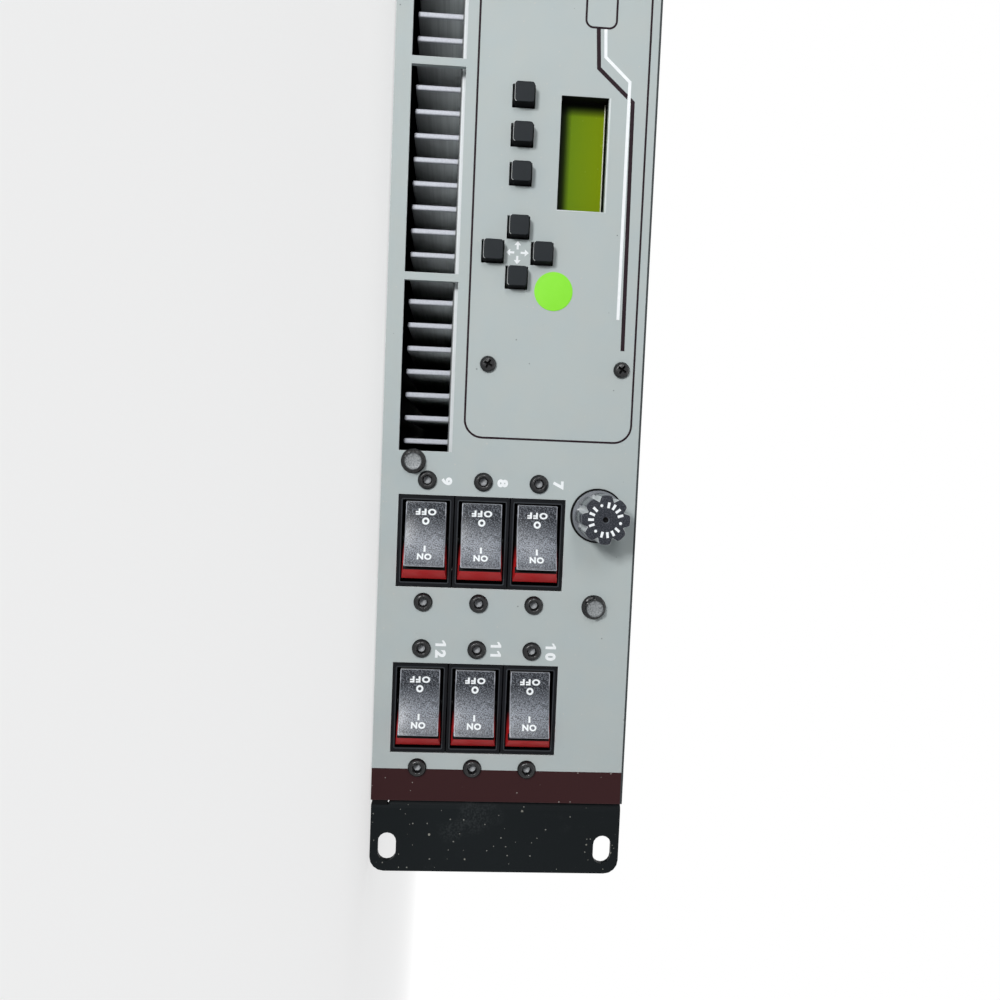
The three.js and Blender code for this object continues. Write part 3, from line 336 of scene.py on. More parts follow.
class Finish(Wiring):
    """A material under construction: its node tree, its shader and the colour so far."""

    def __init__(self, name, colour, roughness, metallic=0.0, specular=0.5):
        self.material = bpy.data.materials.new(name)
        self.material.use_nodes = True
        self.material.diffuse_color = colour
        super().__init__(self.material.node_tree)
        self.shader = self.tree.nodes["Principled BSDF"]
        self.shader.inputs["Base Color"].default_value = colour
        self.shader.inputs["Roughness"].default_value = roughness
        self.shader.inputs["Metallic"].default_value = metallic
        self.shader.inputs["Specular IOR Level"].default_value = specular
        self.place = self.node("ShaderNodeTexCoord").outputs["Object"]
        self.colour = colour
        self.roughness = roughness

    def noise(self, size, detail=2.0, stretch=(1, 1, 1)):
        """Noise whose spots are about as large as size, drawn out along an axis by stretch."""
        mapping = self.node("ShaderNodeMapping")
        mapping.inputs["Scale"].default_value = [1 / (size * s) for s in stretch]
        self.link(self.place, mapping.inputs["Vector"])
        noise = self.node("ShaderNodeTexNoise")
        noise.inputs["Scale"].default_value = 1
        noise.inputs["Detail"].default_value = detail
        self.link(mapping.outputs["Vector"], noise.inputs["Vector"])
        return noise.outputs["Fac"]

    def blend(self, share, colour):
        """Mixes a colour into the one so far, by a share that varies over the surface."""
        mix = self.node("ShaderNodeMix", data_type="RGBA")
        self.link(share, mix.inputs["Factor"])
        self.put(self.colour, mix.inputs["A"])
        mix.inputs["B"].default_value = colour
        self.colour = mix.outputs["Result"]
        self.link(self.colour, self.shader.inputs["Base Color"])

    def speckle(self, size, detail, low, high, share, colour):
        """Another colour where the noise is high, up to a share of it."""
        self.blend(self.between(self.noise(size, detail), low, high, 0, share), colour)

    def mottle(self, size, share, colour):
        """Soft uneven patches of another colour."""
        self.speckle(size, 2.0, 0.35, 0.7, share, colour)

    def gloss(self, size, change, stretch=(1, 1, 1)):
        """Lets the roughness wander a little."""
        patches = self.noise(size, 3.0, stretch)
        low, high = max(self.roughness - change, 0.02), self.roughness + change
        self.link(self.between(patches, 0.3, 0.7, low, high), self.shader.inputs["Roughness"])

    def grain(self, size, height, stretch=(1, 1, 1)):
        """Fine relief of the surface."""
        bump = self.node("ShaderNodeBump")
        bump.inputs["Strength"].default_value = 1
        bump.inputs["Distance"].default_value = height
        self.link(self.noise(size, 2.0, stretch), bump.inputs["Height"])
        self.link(bump.outputs["Normal"], self.shader.inputs["Normal"])

    def dust(self, spacing, radius, share, colour):
        """Small specks, one in some of the cells of the given spacing."""
        cells = self.node("ShaderNodeTexVoronoi")
        cells.inputs["Scale"].default_value = 1 / spacing
        self.link(self.place, cells.inputs["Vector"])
        pick = self.node("ShaderNodeSeparateColor")
        self.link(cells.outputs["Color"], pick.inputs["Color"])
        reach = self.between(pick.outputs["Red"], 1 - share, 1, 0, radius / spacing)
        speck = self.sum("LESS_THAN", cells.outputs["Distance"], reach)
        self.blend(self.sum("MULTIPLY", speck, pick.outputs["Green"]), colour)

    def scuff(self, size, share, colour):
        """Rubbed places: fine scratches within a few larger patches."""
        patches = self.between(self.noise(size), 0.56, 0.72, 0, share)
        scratches = self.between(self.noise(size / 26), 0.42, 0.62, 0, 1)
        self.blend(self.sum("MULTIPLY", patches, scratches), colour)

    def along(self, axis):
        """How far along an axis a point of the surface lies."""
        apart = self.node("ShaderNodeSeparateXYZ")
        self.link(self.place, apart.inputs["Vector"])
        return apart.outputs[axis]

    def beyond(self, axis, edge, colour):
        """Another colour where the distance from the middle along an axis passes an edge."""
        distance = self.sum("ABSOLUTE", self.along(axis), 0)
        self.blend(self.sum("GREATER_THAN", distance, edge), colour)


finishes = {}


def new_finish(colour, roughness, metallic=0.0, specular=0.5):
    """Starts a finish, lets the function under it add to it, and keeps it by that one's name."""

    def keep(add):
        made = Finish(add.__name__, colour, roughness, metallic, specular)
        add(made)
        finishes[add.__name__] = made.material
        return add

    return keep


@new_finish(tint(176, 185, 185), 0.5, specular=0.15)
def panel_paint(paint):
    paint.mottle(30 * MM, 0.5, tint(170, 180, 182))
    paint.mottle(9 * MM, 0.4, tint(180, 185, 182))
    paint.beyond("X", BAND_EDGE, tint(48, 22, 24))
    paint.dust(1.5 * MM, 0.27 * MM, 0.2, tint(200, 196, 188))
    paint.dust(2.6 * MM, 0.3 * MM, 0.1, tint(134, 140, 140))
    paint.beyond("Z", panel_high.z - DARK_TOP_EDGE, tint(58, 61, 63))
    paint.gloss(20 * MM, 0.06)
    paint.grain(0.5 * MM, 0.006 * MM)


@new_finish(tint(212, 218, 218), 0.35, specular=0.4)
def bare_edge(edge):
    """The panel's cut edges, painted pale as a highlight along them."""
    edge.mottle(4 * MM, 0.6, tint(184, 192, 192))
    edge.beyond("X", BAND_EDGE, tint(84, 56, 56))
    edge.grain(0.4 * MM, 0.01 * MM)


@new_finish(tint(20, 24, 26), 0.45, specular=0.08)
def chassis_paint(paint):
    paint.mottle(70 * MM, 0.12, tint(42, 48, 50))
    paint.scuff(18 * MM, 0.1, tint(120, 124, 126))
    paint.dust(3 * MM, 0.5 * MM, 0.3, tint(200, 198, 186))
    paint.dust(1.6 * MM, 0.3 * MM, 0.3, tint(150, 150, 144))
    paint.gloss(60 * MM, 0.05)
    paint.grain(0.4 * MM, 0.01 * MM)


@new_finish(tint(216, 220, 221), 0.45, metallic=0.15)
def aluminium_fins(metal):
    """Extruded aluminium, drawn along Y. The fins' lower parts carry painted shade, their sawn
    front ends are kept clear of it, and the base plate's front has a band of painted shade at its
    lower edge."""
    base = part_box("heat_sink")[1].z - FIN_BASE
    front = face_y + FIN_SETBACK
    height = metal.along("Z")
    streaks = metal.noise(0.9 * MM, 2.0, stretch=(1, 80, 1))
    metal.blend(metal.between(streaks, 0.42, 0.64, 0, 0.35), tint(164, 167, 168))
    # Painted shade, darkest at the fins' lower ends and gone just below the base plate
    fin_shade = metal.between(height, base - FIN_HEIGHT, base - FIN_SHADE_GAP, 0.92, 0)
    metal.blend(fin_shade, tint(96, 98, 101))
    sawn = metal.between(metal.along("Y"), front + SAWN_FROM, front + SAWN_TO, 1, 0)
    metal.blend(sawn, tint(176, 179, 187))
    patches = metal.between(metal.noise(0.7 * MM), 0.4, 0.6, 0, 0.5)
    # On the sawn front the base plate is paler, with a band of painted shade just above its lower
    # edge
    plate = metal.between(height, base - PLATE_FADE, base, 0, 1)
    foot = metal.between(height, base + FOOT_SHADE_FROM, base + FOOT_SHADE_TO, 1, 0)
    foot_shade = metal.sum("MULTIPLY", foot, plate)
    colours = (tint(156, 159, 167), tint(206, 210, 212), tint(96, 99, 101))
    for share, colour in zip((patches, plate, foot_shade), colours):
        metal.blend(metal.sum("MULTIPLY", sawn, share), colour)
    metal.gloss(0.6 * MM, 0.08, stretch=(1, 40, 1))
    metal.grain(0.35 * MM, 0.01 * MM, stretch=(1, 60, 1))


@new_finish(tint(22, 78, 44), 0.35)
def circuit_board(board):
    board.mottle(4 * MM, 0.5, tint(34, 104, 60))
    board.grain(1.2 * MM, 0.03 * MM)


def moulded(plastic):
    """Moulded plastic has a fine spark-eroded grain and a little dust."""
    plastic.mottle(7 * MM, 0.2, tint(34, 36, 40))
    plastic.dust(6 * MM, 0.12 * MM, 0.2, tint(150, 150, 150))
    plastic.gloss(5 * MM, 0.06)
    plastic.grain(0.18 * MM, 0.012 * MM)


# Moulded plastics: colour, roughness and specular. A key's skirt is painted dark as shade, and
# the lower edge of its top is painted pale as a highlight, and smooth.
MOULDED = {
    "display_frame": (tint(10, 10, 11), 0.5, 0.15),
    "fuse_plastic": (tint(112, 116, 122), 0.3, 0.5),
    "terminal_plastic": (tint(30, 31, 33), 0.5, 0.4),
    "bushing_plastic": (tint(26, 27, 28), 0.55, 0.3),
    "fan_plastic": (tint(24, 25, 26), 0.5, 0.3),
    "breaker_plastic": (tint(11, 13, 17), 0.35, 0.12),
    "lip_plastic": (tint(36, 40, 45), 0.35, 0.35),
    "key_plastic": (tint(37, 41, 44), 0.5, 0.1),
    "key_shade": (tint(9, 9, 11), 0.6, 0.04),
    "key_edge_highlight": (tint(205, 208, 208), 0.3, 0.4),
}
for name, (colour, roughness, specular) in MOULDED.items():
    plastic = Finish(name, colour, roughness, specular=specular)
    moulded(plastic)
    finishes[name] = plastic.material


@new_finish(tint(88, 92, 98), 0.18, specular=0.8)
def knob_side(side):
    side.mottle(3 * MM, 0.5, tint(92, 96, 102))
    side.gloss(2 * MM, 0.05)


@new_finish(tint(206, 210, 212), 0.16, specular=1.0)
def knob_flute(flute):
    """The flutes are smoother than the lobes between them, and painted pale as a highlight."""
    flute.mottle(2 * MM, 0.5, tint(164, 168, 172))
    flute.gloss(2 * MM, 0.05)


@new_finish(tint(52, 55, 61), 0.5, specular=0.12)
def knob_face(face):
    moulded(face)
    face.speckle(0.4 * MM, 0.0, 0.48, 0.62, 0.5, tint(86, 88, 96))
    face.speckle(0.34 * MM, 0.0, 0.5, 0.62, 0.7, tint(26, 28, 33))


@new_finish(tint(27, 31, 39), 0.3, specular=0.36)
def rocker_face(face):
    """Grained plastic with a painted sheen, paler from the middle of its face towards the ON end.
    """
    # Painted sheen: rises from the OFF half, is palest just past the middle and eases off towards
    # the ON end
    start = face.between(face.along("X"), -5.5 * MM, 3 * MM, 0, 0.68)
    end = face.between(face.along("X"), 5 * MM, 10 * MM, 1, 0.45)
    face.blend(face.sum("MULTIPLY", start, end), tint(164, 170, 180))
    face.speckle(0.36 * MM, 0.0, 0.5, 0.62, 0.42, tint(158, 164, 174))
    face.speckle(0.31 * MM, 0.0, 0.48, 0.6, 0.75, tint(16, 19, 26))
    face.dust(1.1 * MM, 0.14 * MM, 0.3, tint(200, 204, 212))
    face.grain(0.3 * MM, 0.03 * MM)


@new_finish(tint(184, 188, 196), 0.3, specular=0.6)
def rocker_rim(rim):
    rim.mottle(0.8 * MM, 0.6, tint(124, 128, 136))
    rim.grain(0.3 * MM, 0.01 * MM)


@new_finish(tint(196, 31, 34), 0.38, specular=0.4)
def rocker_plastic(red):
    """The body is red, with painted shade that makes it dark from its pivot to its OFF end."""
    red.mottle(5 * MM, 0.3, tint(176, 29, 32))
    # Painted shade over the body's OFF half, fading out towards its ON end
    dark = red.between(red.along("X"), ROCKER_SHADE_TO, ROCKER_RED_FROM, 1, 0)
    red.blend(dark, tint(10, 9, 11))
    red.grain(0.3 * MM, 0.006 * MM)


@new_finish(tint(92, 126, 24), 0.5, specular=0.04)
def display(glass):
    """The lit display: more yellow towards its upper side, with a dark border along that side and
    painted shade fading in from its low and left edges.
    """
    glass.mottle(4 * MM, 0.5, tint(100, 132, 16))
    glass.grain(0.5 * MM, 0.002 * MM)
    left, right, low, high = window_edges()
    up = glass.along("Z")
    glass.blend(glass.between(up, low, high, 0, 1), tint(116, 136, 4))
    glass.dust(1.3 * MM, 0.24 * MM, 0.3, tint(160, 180, 70))
    dark = tint(10, 14, 8)
    # Painted shade, fading in from the low and left edges of the window
    for place, edge in ((up, low), (glass.along("X"), left)):
        start = edge + WINDOW_SHADE_FROM
        lit = glass.between(place, start, start + WINDOW_SHADE_TO, 0, 1)
        glass.blend(glass.sum("SUBTRACT", 1, glass.sum("POWER", lit, 2.2)), dark)
    glass.blend(glass.sum("GREATER_THAN", up, high - WINDOW_BORDER), dark)


@new_finish(tint(215, 226, 226), 0.08)
def fuse_glass(tube):
    tube.shader.inputs["Transmission Weight"].default_value = 0.6
    tube.mottle(3 * MM, 0.3, tint(190, 190, 185))


@new_finish(tint(150, 82, 40), 0.32, metallic=0.6)
def choke_winding(wire):
    wire.mottle(4 * MM, 0.4, tint(110, 56, 28))
    wire.grain(1.1 * MM, 0.25 * MM, stretch=(1, 1, 12))


@new_finish(tint(128, 128, 130), 0.5, metallic=0.7)
def laminations(steel):
    steel.mottle(5 * MM, 0.4, tint(92, 88, 84))
    steel.grain(0.5 * MM, 0.06 * MM, stretch=(1, 1, 40))


@new_finish(tint(48, 122, 72), 0.45, specular=0.4)
def plug_plastic(green):
    green.mottle(4 * MM, 0.4, tint(38, 104, 62))
    green.grain(0.25 * MM, 0.01 * MM)


@new_finish(tint(240, 243, 245), 0.6, specular=0.2)
def white_ink(ink):
    ink.mottle(1.5 * MM, 0.4, tint(225, 230, 232))
    ink.grain(0.2 * MM, 0.004 * MM)


@new_finish(tint(34, 23, 29), 0.55, specular=0.1)
def dark_ink(ink):
    ink.mottle(2 * MM, 0.4, tint(48, 32, 39))
    ink.grain(0.2 * MM, 0.004 * MM)


@new_finish(tint(140, 228, 60), 0.55, specular=0.2)
def lime_paper(paper):
    paper.mottle(3 * MM, 0.4, tint(134, 226, 50))
    paper.grain(0.4 * MM, 0.01 * MM)


@new_finish(tint(9, 9, 10), 0.6, specular=0.1)
def rubber(gasket):
    gasket.mottle(2 * MM, 0.4, tint(20, 20, 22))
    gasket.grain(0.3 * MM, 0.01 * MM)


@new_finish(tint(214, 216, 196), 0.4, specular=0.3)
def cream_edge(edge):
    edge.mottle(2 * MM, 0.5, tint(190, 194, 170))
    edge.grain(0.4 * MM, 0.006 * MM)


@new_finish(tint(17, 18, 20), 0.24, specular=0.42)
def screw_black(steel):
    steel.mottle(1.4 * MM, 0.5, tint(32, 34, 36))
    steel.gloss(0.8 * MM, 0.08)
    steel.grain(0.3 * MM, 0.012 * MM)


# Pale steel for the bottom of a screw's socket: a painted glint where the lamp reaches into it.
@new_finish(tint(158, 161, 164), 0.4, specular=0.3)
def socket_steel(steel):
    steel.mottle(0.6 * MM, 0.6, tint(118, 121, 124))
    steel.grain(0.2 * MM, 0.01 * MM)


@new_finish(tint(146, 150, 152), 0.5, metallic=0.2)
def screw_dish(cast):
    cast.speckle(0.4 * MM, 2.0, 0.45, 0.62, 0.9, tint(92, 95, 97))
    cast.grain(0.3 * MM, 0.05 * MM)


# Shapes


def piece(name, mesh, finish, body="chassis", place=None, slot=None, replaces=None):
    """Puts a mesh in the scene as a named piece that rides on a body, with a finish unless the
    mesh has some, and hides the CAD node that it replaces."""
    made = bpy.data.objects.new(name, mesh)
    bpy.context.scene.collection.objects.link(made)
    if not mesh.materials:
        mesh.materials.append(finishes[finish])
    if place is not None:
        made.matrix_world = place
    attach(made, body)
    if slot or replaces:
        slot or finish
    if replaces:
        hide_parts(replaces)


def at_middle(node, y):
    """Places a mesh that is drawn about the Y axis at a CAD node's middle, at a depth."""
    centre = middle(node)
    return Matrix.Translation((centre.x, y, centre.z))


def as_mesh(name, shape, degrees=35):
    """Ends a shape and gives its mesh, smooth but for the edges sharper than an angle."""
    mesh = bpy.data.meshes.new(name)
    shape.to_mesh(mesh)
    shape.free()
    mesh.polygons.foreach_set("use_smooth", [True] * len(mesh.polygons))
    mesh.set_sharp_from_angle(angle=math.radians(degrees))
    return mesh


def around(count):
    """Angles spread evenly over a turn."""
    return [2 * math.pi * step / count for step in range(count)]


def bridge(shape, first, second):
    """Faces between two closed rows of points."""
    for index in range(len(first)):
        following = (index + 1) % len(first)
        shape.faces.new((first[index], first[following], second[following], second[index]))


def round_edges(node, width):
    """Rounds a CAD node's sharp edges with modifiers."""
    weld = node.modifiers.new("weld", "WELD")
    weld.merge_threshold = 0.002 * MM
    flat = node.modifiers.new("flat", "DECIMATE")
    flat.decimate_type = "DISSOLVE"
    flat.angle_limit = math.radians(0.5)
    bevel = node.modifiers.new("bevel", "BEVEL")
    bevel.width = width
    bevel.segments = 2
    bevel.limit_method = "ANGLE"
    bevel.angle_limit = math.radians(40)
    bevel.harden_normals = True
    bevel.use_clamp_overlap = True


def soften(points, radius, steps):
    """Rounds the inner corners of an open line of points."""
    made = [Vector(points[0])]
    for before, corner, after in zip(points, points[1:], points[2:]):
        corner = Vector(corner)
        back = Vector(before) - corner
        on = Vector(after) - corner
        start = corner + back.normalized() * min(radius, back.length * 0.45)
        end = corner + on.normalized() * min(radius, on.length * 0.45)
        for step in range(steps + 1):
            t = step / steps
            made.append(start * (1 - t) ** 2 + corner * 2 * t * (1 - t) + end * t**2)
    made.append(Vector(points[-1]))
    return made


# Outlines: each gives a radius for an angle


def circle(radius):
    return lambda angle: radius


def hexagon(apothem):
    sixth = math.pi / 3
    return lambda angle: apothem / math.cos(angle % sixth - sixth / 2)


def cross(arm, half_width):
    """The outline of a cross-head recess."""

    def radius(angle):
        short, long = sorted((abs(math.cos(angle)), abs(math.sin(angle))))
        return arm / long if short * arm <= half_width * long else half_width / short

    return radius


def square(half, corner):
    """A square with round corners."""

    def radius(angle):
        across = Vector((abs(math.cos(angle)), abs(math.sin(angle))))
        flat = half / max(across)
        if min(across) * flat <= half - corner:
            return flat
        centre = Vector((half - corner, half - corner))
        along = across.dot(centre)
        return along + math.sqrt(along**2 - centre.length_squared + corner**2)

    return radius


def lobes(radius, flute):
    """A round knob's outline with narrow flutes between its lobes."""

    def at(angle):
        wave = (1 - math.cos(KNOB_LOBES * angle)) / 2
        return radius - flute * wave**4

    return at


# Solids


def ringed(name, rings, count=48, closed=True):
    """A mesh through rings about the Y axis. Each ring is an outline and a depth."""
    shape = bmesh.new()
    loops = []
    for outline, depth in rings:
        loop = []
        for angle in around(count):
            radius = outline(angle)
            spot = (radius * math.cos(angle), depth, radius * math.sin(angle))
            loop.append(shape.verts.new(spot))
        loops.append(loop)
    for first, second in zip(loops, loops[1:]):
        bridge(shape, first, second)
    if closed:
        shape.faces.new(loops[0])
        shape.faces.new(loops[-1])
    bmesh.ops.recalc_face_normals(shape, faces=shape.faces)
    return as_mesh(name, shape)


def rounds(profile):
    """Round rings from a profile of radius and depth, in millimetres."""
    return [(circle(radius * MM), depth * MM) for radius, depth in profile]


def turned(name, profile, rounding, steps, count=72):
    """A solid of revolution about the Y axis, from a profile of radius and depth that ends where
    it starts. Its other corners are rounded."""
    profile = soften(profile, rounding, steps)[:-1]
    shape = bmesh.new()
    loops = []
    for angle in around(count):
        spots = [(r * math.cos(angle), depth, r * math.sin(angle)) for r, depth in profile]
        loops.append([shape.verts.new(spot) for spot in spots])
    for first, second in zip(loops, loops[1:] + loops[:1]):
        bridge(shape, first, second)
    bmesh.ops.remove_doubles(shape, verts=shape.verts, dist=0.001 * MM)
    bmesh.ops.recalc_face_normals(shape, faces=shape.faces)
    return as_mesh(name, shape)


def prism(name, outline, half_width, edge):
    """An outline in X and Y run along Z to both sides of the middle, with rounded edges. Its
    half width may change with Y."""
    shape = bmesh.new()
    low = [shape.verts.new((x, y, -half_width(y))) for x, y in outline]
    high = [shape.verts.new((x, y, half_width(y))) for x, y in outline]
    shape.faces.new(low)
    shape.faces.new(high)
    bridge(shape, low, high)
    bmesh.ops.recalc_face_normals(shape, faces=shape.faces)
    sharp = [e for e in shape.edges if e.calc_face_angle(0) > math.radians(25)]
    bmesh.ops.bevel(shape, geom=sharp, offset=edge, segments=3, profile=0.5, affect="EDGES")
    return as_mesh(name, shape, 40)


def painted(mesh, names, pick):
    """Gives a mesh several finishes. A rule picks one for each face by its middle and normal."""
    for name in names:
        mesh.materials.append(finishes[name])
    for face in mesh.polygons:
        face.material_index = pick(face.center, face.normal)
    return mesh


def from_middle(point):
    """How far a point lies from the Y axis."""
    return math.hypot(point.x, point.z)


def block(name, low, high, edge, finish):
    """Adds a fixed block between two corners, with rounded edges."""
    shape = bmesh.new()
    bmesh.ops.create_cube(shape, size=1)
    low, high = Vector(low), Vector(high)
    for point in shape.verts:
        point.co = (low + high) / 2 + point.co * (high - low)
    edges = shape.edges[:]
    bmesh.ops.bevel(shape, geom=edges, offset=edge, segments=2, profile=0.5, affect="EDGES")
    piece(name, as_mesh(name, shape, 30), finish)


def lip(name, points, width, height):
    """A low rib along a closed line, its foot at Y = 0 and its top, a little narrower, at -Y."""
    foot, faces = ribbon(points, width, closed=True)
    top = ribbon(points, width * 0.55, closed=True)[0]
    shape = bmesh.new()
    low = [shape.verts.new((p.x, 0, p.y)) for p in foot]
    high = [shape.verts.new((p.x, -height, p.y)) for p in top]
    for a, b, c, d in faces:
        shape.faces.new((high[a], high[b], high[c], high[d]))
        shape.faces.new((low[a], low[d], high[d], high[a]))
        shape.faces.new((low[b], low[c], high[c], high[b]))
    bmesh.ops.recalc_face_normals(shape, faces=shape.faces)
    return as_mesh(name, shape, 30)


def join(name, first, second, degrees=35):
    """One mesh out of two. The finishes are the first's."""
    shape = bmesh.new()
    shape.from_mesh(first)
    shape.from_mesh(second)
    mesh = as_mesh(name, shape, degrees)
    for material in first.materials:
        mesh.materials.append(material)
    return mesh


# Flat prints: points in a plane with faces, laid on a surface afterwards


def words(text, width, height, weight, spacing=1.0):
    """Lettering as flat points and faces, fitted to a width and height about its middle."""
    curve = bpy.data.curves.new("words", "FONT")
    curve.body = text
    curve.offset = weight
    curve.space_character = spacing
    curve.resolution_u = 4
    holder = bpy.data.objects.new("words", curve)
    bpy.context.scene.collection.objects.link(holder)
    bpy.context.view_layer.update()
    graph = bpy.context.evaluated_depsgraph_get()
    mesh = bpy.data.meshes.new_from_object(holder.evaluated_get(graph))
    points = [Vector(v.co.xy) for v in mesh.vertices]
    faces = [tuple(p.vertices) for p in mesh.polygons]
    bpy.data.objects.remove(holder)
    bpy.data.curves.remove(curve)
    bpy.data.meshes.remove(mesh)
    low = Vector((min(p.x for p in points), min(p.y for p in points)))
    high = Vector((max(p.x for p in points), max(p.y for p in points)))
    across, up = high - low
    if width is None:
        width = NUMBER_STRETCH * across * height / up
    centre = (low + high) / 2
    for p in points:
        p.x = (p.x - centre.x) * width / across
        p.y = (p.y - centre.y) * height / up
    return points, faces


def ribbon(points, width, closed=False):
    """A line of even width through points, with mitred corners."""
    points = [Vector(point) for point in points]
    count = len(points)
    spans = count if closed else count - 1
    ways = [(points[(i + 1) % count] - points[i]).normalized() for i in range(spans)]
    sides = []
    for index, point in enumerate(points):
        into = ways[index - 1] if closed or index else ways[0]
        out = ways[index] if index < spans else ways[-1]
        along = (into + out).normalized()
        across = Vector((-along.y, along.x))
        reach = width / 2 / max(across.dot(Vector((-out.y, out.x))), 0.5)
        sides += [point + across * reach, point - across * reach]
    faces = []
    for span in range(spans):
        a, b = 2 * span, 2 * ((span + 1) % count)
        faces.append((a, a + 1, b + 1, b))
    return sides, faces


def box_line(left, right, low, high, corner, steps=10):
    """The points round a rectangle with round corners."""
    left, right, low, high = left + corner, right - corner, low + corner, high - corner
    points = []
    for x, z, start in ((right, low, -90), (right, high, 0), (left, high, 90), (left, low, 180)):
        for step in range(steps + 1):
            angle = math.radians(start + 90 * step / steps)
            points.append((x + corner * math.cos(angle), z + corner * math.sin(angle)))
    return points


def one_face(points):
    return [Vector(point) for point in points], [tuple(range(len(points)))]


def disc(radius):
    return one_face([(math.cos(a) * radius, math.sin(a) * radius) for a in around(16)])


def bar(width, height):
    w, h = width / 2, height / 2
    return one_face([(-w, -h), (w, -h), (w, h), (-w, h)])


def ring_line(radius, stroke):
    points = [(math.cos(a) * radius, math.sin(a) * radius) for a in around(32)]
    return ribbon(points, stroke, closed=True)


def digit_one(height):
    """A plain 1 with a flag, about the middle of its stem."""
    half, stem, flag = height / 2, height * 0.13, height * 0.42
    points = [(-stem, -half), (stem, -half), (stem, half), (-stem * 0.6, half)]
    points += [(-flag, half * 0.55), (-flag, half * 0.15), (-stem, half * 0.45)]
    return one_face(points)


def arrow(size):
    """An arrow that points up, about its middle."""
    half, stem, wing = size / 2, size * 0.13, size * 0.42
    points = [(-stem, -half), (stem, -half), (stem, 0), (wing, 0)]
    points += [(0, half), (-wing, 0), (-stem, 0)]
    return one_face(points)


def moved(flat, across, up, turn=0.0):
    """Shifts a flat print, after turning it about its middle."""
    points, faces = flat
    turning = Matrix.Rotation(turn, 2)
    return [turning @ p + Vector((across, up)) for p in points], faces


def laid(name, flats, to_surface):
    """One mesh out of flat prints, each point laid on a surface."""
    points, faces = [], []
    for flat_points, flat_faces in flats:
        start = len(points)
        points += [to_surface(p) for p in flat_points]
        faces += [tuple(start + index for index in face) for face in flat_faces]
    mesh = bpy.data.meshes.new(name)
    mesh.from_pydata(points, [], faces)
    mesh.update()
    return mesh


def on_front(point, proud=PRINT_PROUD):
    """A print's point on the panel's face, X to the right and Z up from its middle."""
    return Vector((point.x, face_y - proud, mid_z + point.y))


# CAD nodes


def dress_nodes():
    """Gives each CAD node its finish by its slot, and softens its edges."""
    edges = {
        "heat_sink": 0.5 * MM,
        "front_panel": 0.3 * MM,
        "left_side": 0.3 * MM,
        "right_side": 0.3 * MM,
        "lcd_glass": 0.05 * MM,
        "control_transformer": 0.6 * MM,
    }
    for name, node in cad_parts.items():
        slot = node.data.materials[0].name
        node.data.materials[0] = finishes[slot]
        round_edges(node, edges.get(name, 0.2 * MM))
    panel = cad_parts["front_panel"]
    # The panel's bevels get the pale edge finish, a painted highlight along every cut edge.
    panel.data.materials.append(finishes["bare_edge"])
    panel.modifiers["bevel"].material = 1


# Rockers


def face_arc(x, drop=0.0):
    """How far forward a rocker's hollow face lies at a place along it."""
    half = ROCKER_FACE_LENGTH / 2
    radius = (half**2 + ROCKER_HOLLOW**2) / (2 * ROCKER_HOLLOW)
    return -ROCKER_REACH + ROCKER_HOLLOW - radius + math.sqrt(radius**2 - x**2) + drop


def arc_points(half, drop=0.0):
    """Points along the hollow of a rocker's face, to both sides of its middle."""
    places = [-half + 2 * half * step / FACE_STEPS for step in range(FACE_STEPS + 1)]
    return [(x, face_arc(x, drop)) for x in places]


def rocker_cap_mesh():
    """The dark hollow plate on top, with ends that slope like the body's."""
    half = ROCKER_FACE_LENGTH / 2
    outline = arc_points(half)
    rim = -ROCKER_REACH + ROCKER_CAP_THICKNESS
    under = -ROCKER_REACH + ROCKER_HOLLOW + ROCKER_CAP_THICKNESS
    outline += [(half + ROCKER_CAP_OVERHANG, rim), (half - ROCKER_HOLLOW, under)]
    outline += [(-half + ROCKER_HOLLOW, under), (-half - ROCKER_CAP_OVERHANG, rim)]
    mesh = prism("rocker_cap", outline, lambda y: ROCKER_CAP_WIDTH / 2, ROCKER_EDGE)

    def pick(centre, normal):
        """The rounded edges round the face carry a painted highlight, and its ends and sides are
        painted dark as shade.
        """
        if normal.y < -0.955:
            return 0
        return 1 if normal.y < -0.2 else 2

    return painted(mesh, ("rocker_face", "rocker_rim", "breaker_plastic"), pick)


